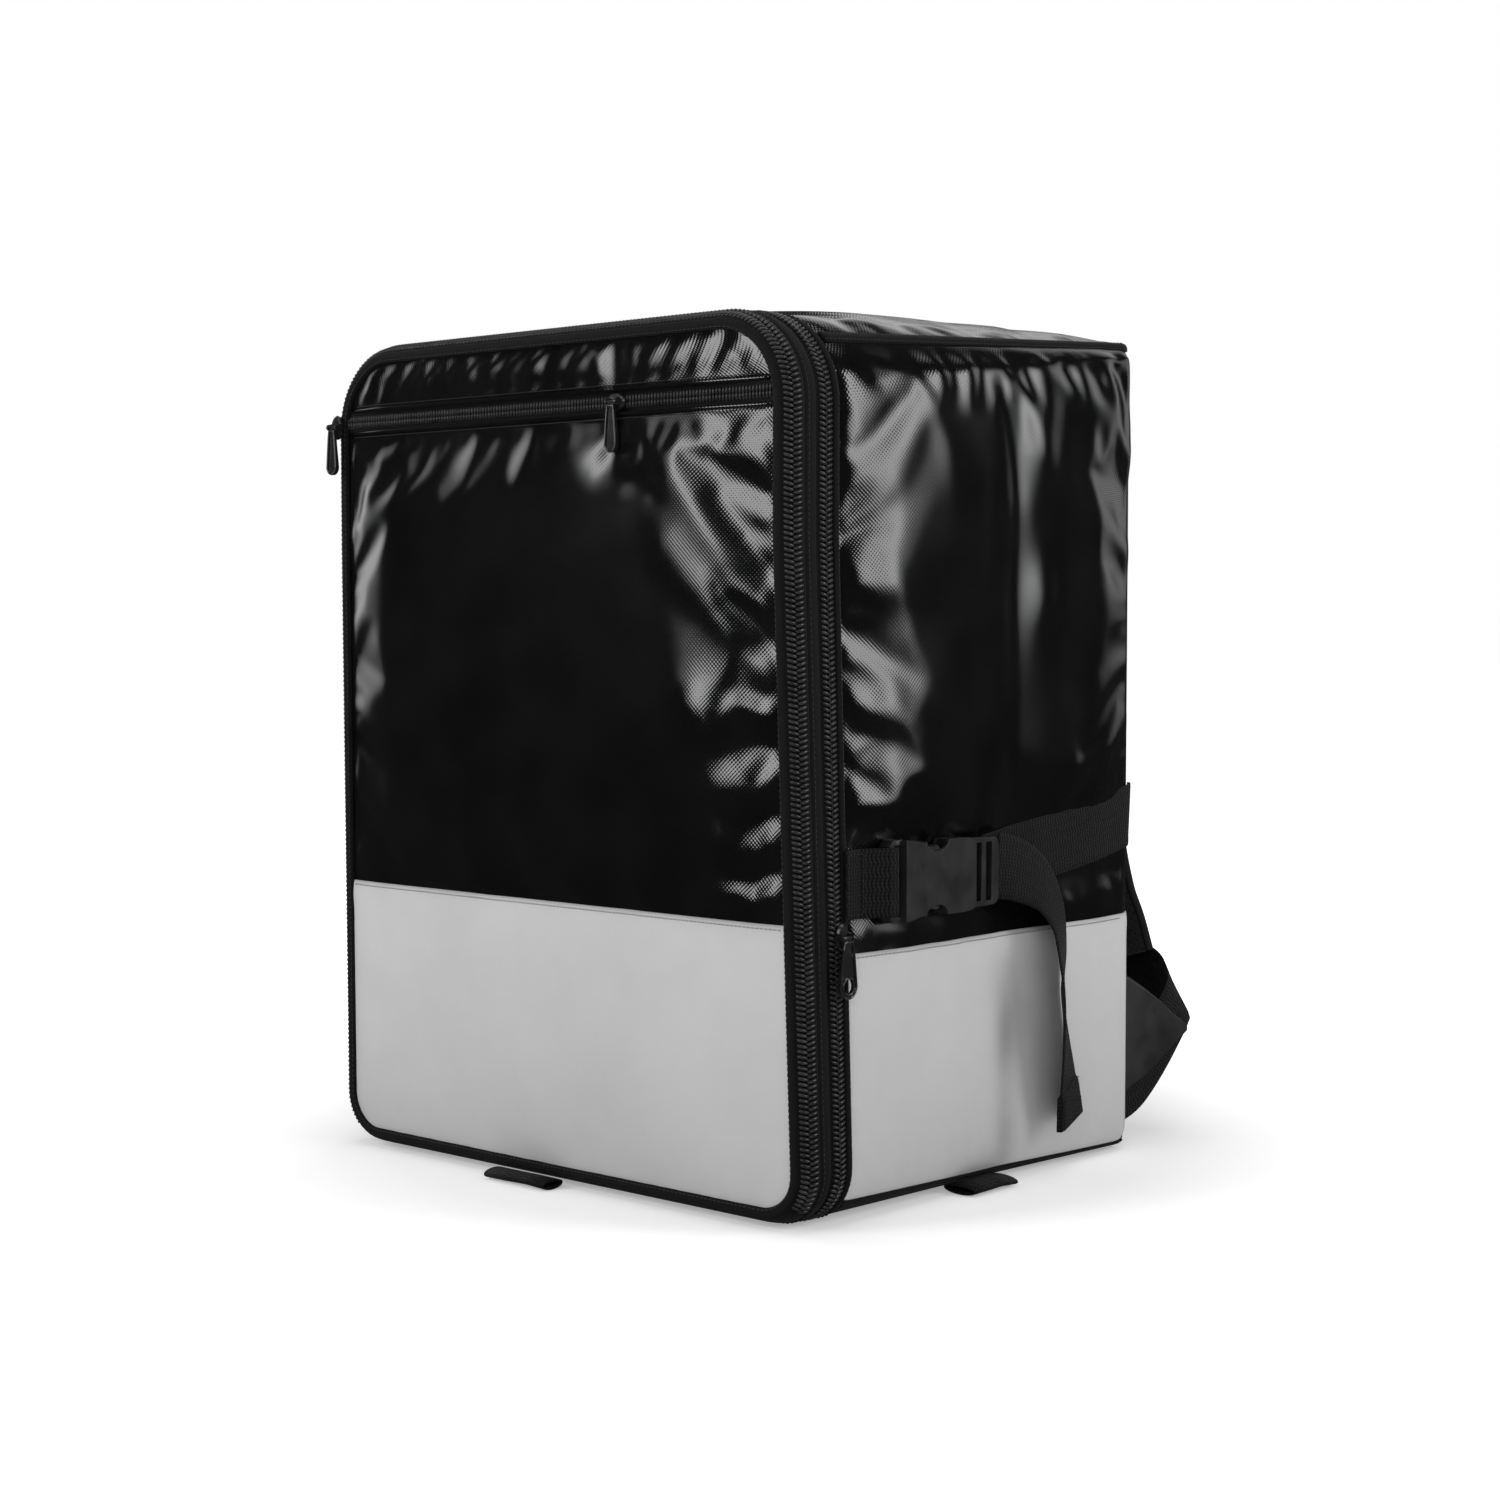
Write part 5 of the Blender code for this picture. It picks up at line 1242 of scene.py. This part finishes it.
def side_webbing(side, turn):
    y = np.linspace(PANEL_START - 0.0046, BUCKLE_START + 0.0042, 40)
    seat = settle((side_out(BUCKLE_START), BUCKLE_START, STRAP_Z))[0]
    high = settle((side_out(BUCKLE_MIDDLE), BUCKLE_MIDDLE, STRAP_Z))[0] + 0.0090 - seat
    at = (PANEL_START, PANEL_START + 0.008, BUCKLE_START - 0.012, BUCKLE_START - 0.001, BUCKLE_START + 0.005)
    lift = np.interp(y, at, (0.0019, 0.0010, 0.0030, high, high))
    grid = world(side_line(y, STRAP_Z, lift + WEB_THICK / 2)) * turn
    strap("webbing_front_" + side, "front_webbing_" + side, grid, (0, 0, 1))
    corner = grid[2] + np.array((turn[0] * WEB_THICK / 2, 0, -WEB_WIDTH / 2 + 0.0025))
    box_stitches("stitches_front_webbing_" + side, corner, (0, 0, WEB_WIDTH - 0.005), (0, 0.012, 0),
                 turn * (1, 0, 0))
    start = BUCKLE_FAR - 0.0005
    y = np.linspace(start, DEPTH - REAR_ROUND, 40)
    z = STRAP_Z + WEB_LIFT + REAR_CLIMB * ((y - start) / (DEPTH - start)) ** 1.15
    points = [side_line(y, z, WEB_LIFT + WEB_THICK / 2)]
    for angle in np.radians((25, 50, 75, 90)):
        depth = DEPTH - REAR_ROUND + (REAR_ROUND - 0.0004) * math.sin(angle)
        out = WEB_LIFT + WEB_THICK / 2 - REAR_INSET * (1 - math.cos(angle))
        height = STRAP_Z + WEB_LIFT + REAR_CLIMB * (depth - start) / (DEPTH - start)
        points.append(side_line([min(depth, DEPTH)], [height], [out]))
    strap("webbing_rear_" + side, "rear_webbing_" + side, world(np.concatenate(points)) * turn,
          (0, STRAP_SLOPE, 1))


both_sides(side_webbing)

# The tail's shares of its reach back, distance out and drop, and its twist in degrees
TAIL = (
    (0.00, 0.42, 0.00, 0), (0.24, 0.62, 0.02, -8), (0.53, 0.86, 0.08, -18),
    (0.73, 1.00, 0.20, -25), (0.80, 1.04, 0.35, -30), (0.81, 1.06, 0.52, -38),
    (0.87, 0.98, 0.70, -31), (0.94, 0.84, 0.86, -22), (1.00, 0.74, 1.00, -15),
)
TAIL_START = BUCKLE_FAR + 0.0042
TAIL_REACH, TAIL_OUT, TAIL_DROP = 0.070, 0.0135, 0.156
FOLDED_END = 0.022


def tail(side, turn):
    fine = curve([(side_out(BUCKLE_MIDDLE) + TAIL_OUT * out, TAIL_START + TAIL_REACH * reach,
                   STRAP_Z + 0.002 - TAIL_DROP * drop, math.radians(twist))
                  for reach, out, drop, twist in TAIL], 9)
    centres = world(fine[:, :3])
    along = unit(np.gradient(centres, axis=0))
    flat = unit(np.cross(along, (1.0, 0.0, 0.0)))
    across = flat * np.cos(fine[:, 3:]) + np.cross(along, flat) * np.sin(fine[:, 3:])
    left = lengths(centres)[-1] - lengths(centres)
    thick = np.where(left < FOLDED_END, WEB_THICK * 3.0, WEB_THICK)
    across, normal = strap("webbing_tail_" + side, "strap_tail_" + side, centres * turn, across * turn, thick)
    for back in (5, 10):
        row = np.stack([centres[-back] * turn + across[-back] * a for a in np.linspace(-0.016, 0.016, 8)])
        row = row + normal[-back] * 0.0028
        stitch_row("stitches_tail_%s_%d" % (side, back), row, normal[-back])


both_sides(tail)


def loop(name, node, root, outward, along, length, width, turn):
    high, web = 0.0058, 0.0014
    rings = []
    for angle in ring_angles(30):
        ring = []
        for a, n in ((-0.5, 0), (-0.17, 0), (0.17, 0), (0.5, 0), (0.5, 1), (0.17, 1), (-0.17, 1), (-0.5, 1)):
            out = (length / 2 - web * n) * math.cos(angle) + length / 2
            up = (high / 2 - web * n) * math.sin(angle) + high / 2
            up += 0.0005 * math.sin(a * 7 + 1) * clip01(out / length)
            ring.append(root + outward * out + along * (a * width) + np.array((0, 0, up)))
        rings.append(ring)
    piece(name, np.array(rings) * turn, WEBBING, "webbing", (node,), wrap=(True, True))


def box_of(node):
    return [np.array(corner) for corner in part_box(node)]


def loops():
    ahead, sideways = np.array((0, -1.0, 0)), np.array((1.0, 0, 0))
    for side, turn in SIDES:
        low, high = box_of("side_loop_" + side)
        inner = low[0] if turn[0] > 0 else high[0]
        root = np.array((abs(inner), (low[1] + high[1]) / 2, low[2]))
        loop("webbing_loop_" + side, "side_loop_" + side, root, sideways, -ahead,
             high[0] - low[0], high[1] - low[1], turn)
    low, high = box_of("front_loop")
    root = np.array(((low[0] + high[0]) / 2, high[1], low[2]))
    loop("webbing_loop_front", "front_loop", root, ahead, sideways, high[1] - low[1], high[0] - low[0], 1.0)


loops()


# Shoulder straps, padding and wings

# Shares of the way down, of the distance out from the padding, and of the spread sideways
SHOULDER = (
    (0.00, 0.03, 0.00), (0.06, 0.30, 0.08), (0.16, 0.70, 0.22), (0.32, 0.89, 0.34), (0.50, 0.94, 0.44),
    (0.66, 0.93, 0.46), (0.78, 0.93, 0.51), (0.88, 0.95, 0.68), (0.94, 0.98, 0.86), (1.00, 1.01, 1.00),
)
SHOULDER_THICK = 0.0096
SHOULDER_Y = PAD_FACE + 0.0003 + SHOULDER_THICK / 2
SHOULDER_HALF = 0.0295
SHOULDER_X, SHOULDER_SPREAD = 0.080, 0.043
SHOULDER_TOP, SHOULDER_DROP = 0.462, 0.357
SHOULDER_STAND = 0.055


def shoulder_strap(side, turn):
    rows = [(SHOULDER_X + SHOULDER_SPREAD * spread, SHOULDER_Y + SHOULDER_STAND * stand,
             SHOULDER_TOP - SHOULDER_DROP * drop) for drop, stand, spread in SHOULDER]
    centres = world(curve(rows, 10), settled=False)
    along = unit(np.gradient(centres, axis=0))
    across = unit(np.array((1.0, 0, 0)) - along * along[:, :1])
    normal = np.cross(across, along)
    normal *= np.sign(normal[40, 1])
    thick = SHOULDER_THICK / 2 - 0.0008
    faces = ((1, "outer", VINYL, ("shoulder_strap_" + side,)), (-1, "inner", MESH, ()))
    for sign, label, look, nodes in faces:
        grid = []
        for a in np.linspace(-1, 1, 13):
            quilt = 1 - 0.28 * bell(a, 0.05) if sign < 0 else 1.0
            out = sign * (1 - 0.50 * abs(a) ** 5) * thick * quilt
            grid.append(centres + across * (a * SHOULDER_HALF) + normal * out)
        piece("shoulder_%s_%s" % (label, side), np.stack(grid, axis=1) * turn, look, "mesh", nodes, 0.7,
              thick=0.0012, flip=(sign > 0) != (turn[0] < 0))
    for edge in (-1, 1):
        rail = centres + across * (edge * SHOULDER_HALF)
        grid = [rail + across * (0.0017 * math.cos(angle)) + normal * (0.0038 * math.sin(angle))
                for angle in ring_angles(10)]
        piece("shoulder_binding_%s_%d" % (side, edge + 1), np.stack(grid, axis=1) * turn, BINDING, "tape",
              wrap=(False, True), caps=True)
        row = (rail - across * (edge * 0.004) + normal * (thick * 0.83)) * turn
        stitch_row("stitches_shoulder_%s_%d" % (side, edge + 1), row, normal * turn)


both_sides(shoulder_strap)


def foot_webbing(side, turn):
    """From the foot's corner out to the shoulder strap's end: places and directions across."""
    x = HALF - 0.012
    rear = DEPTH + 0.0006
    outer = SHOULDER_Y + SHOULDER_STAND * 1.01 + SHOULDER_THICK / 2 + WEB_THICK / 2 + 0.0018
    fine = curve((
        (x, rear, 0.0330, 0, 0, -1), (x, rear + 0.008, 0.0330, 0, 0, -1),
        (x, rear + 0.023, 0.0385, 0, 0.25, -0.97), (x, rear + 0.042, 0.0525, 0, 0.55, -0.83),
        (x, rear + 0.060, 0.0695, 0, 0.66, -0.75), (x - 0.001, rear + 0.072, 0.0810, 0, 0.66, -0.75),
        (x - 0.006, outer - 0.0005, 0.0862, 0, 0.64, -0.77),
        (x - 0.018, outer + 0.0020, 0.0910, 0, 0.42, -0.91),
        (x - 0.034, outer + 0.0010, 0.0975, 0, 0.10, -0.99), (0.123, outer, 0.1020, 0, 0, -1),
    ), 6)
    centres = world(fine[:, :3], settled=False) * turn
    strap("webbing_foot_" + side, "foot_webbing_" + side, centres, fine[:, 3:] * turn)
    corner = centres[-1] + np.array((-0.004 * turn[0], WEB_THICK / 2 + 0.0002, -0.015))
    box_stitches("stitches_foot_" + side, corner, (0.012 * turn[0], 0, 0), (0, 0, 0.030), (0, 1, 0))


both_sides(foot_webbing)


def wing(side, turn):
    columns, down = 22, 18
    grid = []
    for i in range(columns + 1):
        share = i / columns
        x = HALF - 0.0062 - 0.0025 * share + 0.0018 * math.sin(share * 5.0)
        top = 0.107 + (0.0668 - 0.107) * share
        foot = 0.034 + (0.0632 - 0.034) * share
        column = []
        for j in range(down + 1):
            t = j / down
            puff = 0.0010 * math.sin(math.pi * t) * math.sin(math.pi * share)
            column.append((x + puff, DEPTH + 0.0004 + 0.0765 * share, foot + (top - foot) * t))
        grid.append(column)
    grid = world(grid, settled=False)
    piece("wing_" + side, grid * turn, WING, "vinyl", ("corner_wing_" + side,), thick=0.0022, finer=True,
          flip=turn[0] < 0)
    for row, label in ((1, "foot"), (3, "foot_inner"), (-2, "top"), (-4, "top_inner")):
        line = grid[:-2, row] + np.array((0.0004, 0, 0))
        stitch_row("stitches_wing_%s_%s" % (label, side), line * turn, (turn[0], 0, 0))
    ring = [grid[:, -1] + np.array((0.0016 * math.cos(a) - 0.0011, 0, 0.0022 * math.sin(a)))
            for a in ring_angles(8)]
    piece("wing_binding_" + side, np.stack(ring, axis=1) * turn, BINDING, "tape",
          wrap=(False, True), caps=True)


both_sides(wing)


PAD_HALF, PAD_LOW, PAD_HIGH, PAD_RADIUS = 0.167, 0.050, 0.4975, 0.028
CHANNEL_X = 0.062
CHANNEL_HEIGHTS = (0.16, 0.27, 0.38)
CHANNEL_WIDTH = 0.006
CHANNEL_DEPTH = 0.0048


def rounded_box(inset):
    """The padding's outline, moved inward."""
    points = []
    for corner in range(4):
        ends = []
        for at in (corner, (corner + 1) % 4):
            ends.append(((PAD_HALF - PAD_RADIUS) * (1 if at in (0, 1) else -1),
                         PAD_HIGH - PAD_RADIUS if at in (1, 2) else PAD_LOW + PAD_RADIUS))
        turns = np.radians(90 * corner - 90 + np.linspace(0, 90, 9))
        arc = (PAD_RADIUS - inset) * np.stack((np.cos(turns), np.sin(turns)), axis=1)
        run = np.linspace(ends[0] + arc[-1], ends[1] + arc[-1], 22)[1:-1]
        points += [ends[0] + arc, run]
    return np.concatenate(points)


def padding():
    """The wearer's padding: mesh over foam, two channels down and three across, bound round its edge."""
    heart = np.array((0.0, (PAD_LOW + PAD_HIGH) / 2))
    outer = rounded_box(0.0)
    rows = []
    profile = [(1.0, 0.0), (1.0, 0.006), (0.995, 0.0095), (0.975, 0.0116)]
    profile += [(share, PAD_THICK) for share in np.linspace(0.93, 0.03, 34)]
    for share, out in profile:
        x, z = (heart + (outer - heart) * share).T
        channel = bell(np.abs(x) - CHANNEL_X, CHANNEL_WIDTH) * clip01((z - 0.07) / 0.02)
        for height in CHANNEL_HEIGHTS:
            channel = np.maximum(channel, bell(z - height, CHANNEL_WIDTH))
        dip = CHANNEL_DEPTH * channel * clip01((0.97 - share) / 0.08)
        rows.append(np.stack((x, PAD_SEAT + out - dip, z), axis=1))
    flat_uv(piece("padding_mesh", world(rows, settled=False), MESH, "mesh", ("back_padding",), 0.7,
                  thick=0.002, wrap=(False, True)))
    ring = []
    for angle in ring_angles(8):
        x, z = rounded_box(-0.0010 - 0.0016 * math.cos(angle)).T
        ring.append(np.stack((x, np.full_like(x, DEPTH + 0.0036 + 0.0030 * math.sin(angle)), z), axis=1))
    piece("padding_binding", world(np.stack(ring, axis=1), settled=False), BINDING, "tape", wrap=(True, True))


padding()


# Buckles and zip hardware: the solids' own shapes with worked edges

def worked(node, name, edge, material, body="bag"):
    bm = bmesh.new()
    bm.from_mesh(frame["nodes"][node].data)
    bmesh.ops.remove_doubles(bm, verts=bm.verts, dist=0.00002)
    bmesh.ops.dissolve_limit(bm, angle_limit=math.radians(2), verts=bm.verts, edges=bm.edges)
    mesh = bpy.data.meshes.new(name)
    bm.to_mesh(mesh)
    bm.free()
    mesh.materials.append(material)
    made = add_object(name, mesh)
    change = made.modifiers.new("edges", "BEVEL")
    change.width = edge
    change.segments = 3
    change.limit_method = "ANGLE"
    change.angle_limit = math.radians(28)
    change.use_clamp_overlap = True
    mesh.shade_smooth()
    mesh.set_sharp_from_angle(angle=math.radians(50))
    publish(made, (node,), body=body)


for side, turn in SIDES:
    worked("buckle_female_" + side, "socket_" + side, 0.0011, PLASTIC)
    worked("buckle_male_" + side, "plug_" + side, 0.0009, PLASTIC)


EYE_RADIUS = 0.0046


def rim_tube(name, points, radius, body):
    """A raised metal rim along a closed line of points."""
    along = unit(np.roll(points, -1, axis=0) - np.roll(points, 1, axis=0))
    flat = unit(np.cross(along, np.cross(points[2] - points[0], points[5] - points[0])))
    up = np.cross(flat, along)
    grid = [points + flat * (radius * math.cos(a)) + up * (radius * math.sin(a)) for a in ring_angles(8)]
    piece(name, np.stack(grid, axis=1), METAL, "metal", body=body, wrap=(True, True))


def pull_rim(label, body):
    """The rounded rim of a pull, and the ring of its eye where it has one."""
    low, high = box_of(label + "_pull")
    sideways = label == "expansion"
    across, face = (1, 0) if sideways else (0, 1)
    width = high[across] - low[across]
    radius = width / 2 - 0.0007
    round_z = low[2] + width / 2
    top_z = high[2] - 0.0034
    shoulder = [(radius * 0.56, top_z), (radius * 0.80, (top_z + round_z) / 2)]
    flat = [(-a, z) for a, z in shoulder]
    flat += [(-radius * math.cos(a), round_z - radius * math.sin(a)) for a in np.linspace(0, math.pi, 15)]
    flat += shoulder[::-1]

    def place(flat):
        points = np.zeros((len(flat), 3))
        points[:, across] = (low[across] + high[across]) / 2 + flat[:, 0]
        points[:, face] = high[0] if sideways else low[1]
        points[:, 2] = flat[:, 1]
        return points

    rim_tube("rim_" + label, place(curve(flat, 3)), 0.0008, body)
    if sideways:
        ring = [(EYE_RADIUS * math.cos(a), round_z + EYE_RADIUS * math.sin(a)) for a in ring_angles(24)]
        rim_tube("eye_" + label, place(np.array(ring)), 0.0007, body)


for label in ("pocket", "expansion", "door"):
    worked(label + "_slider", "slider_" + label, 0.0005, METAL)
    worked(label + "_pull", "tab_" + label, 0.0004, METAL, label + "_tab")
    pull_rim(label, label + "_tab")
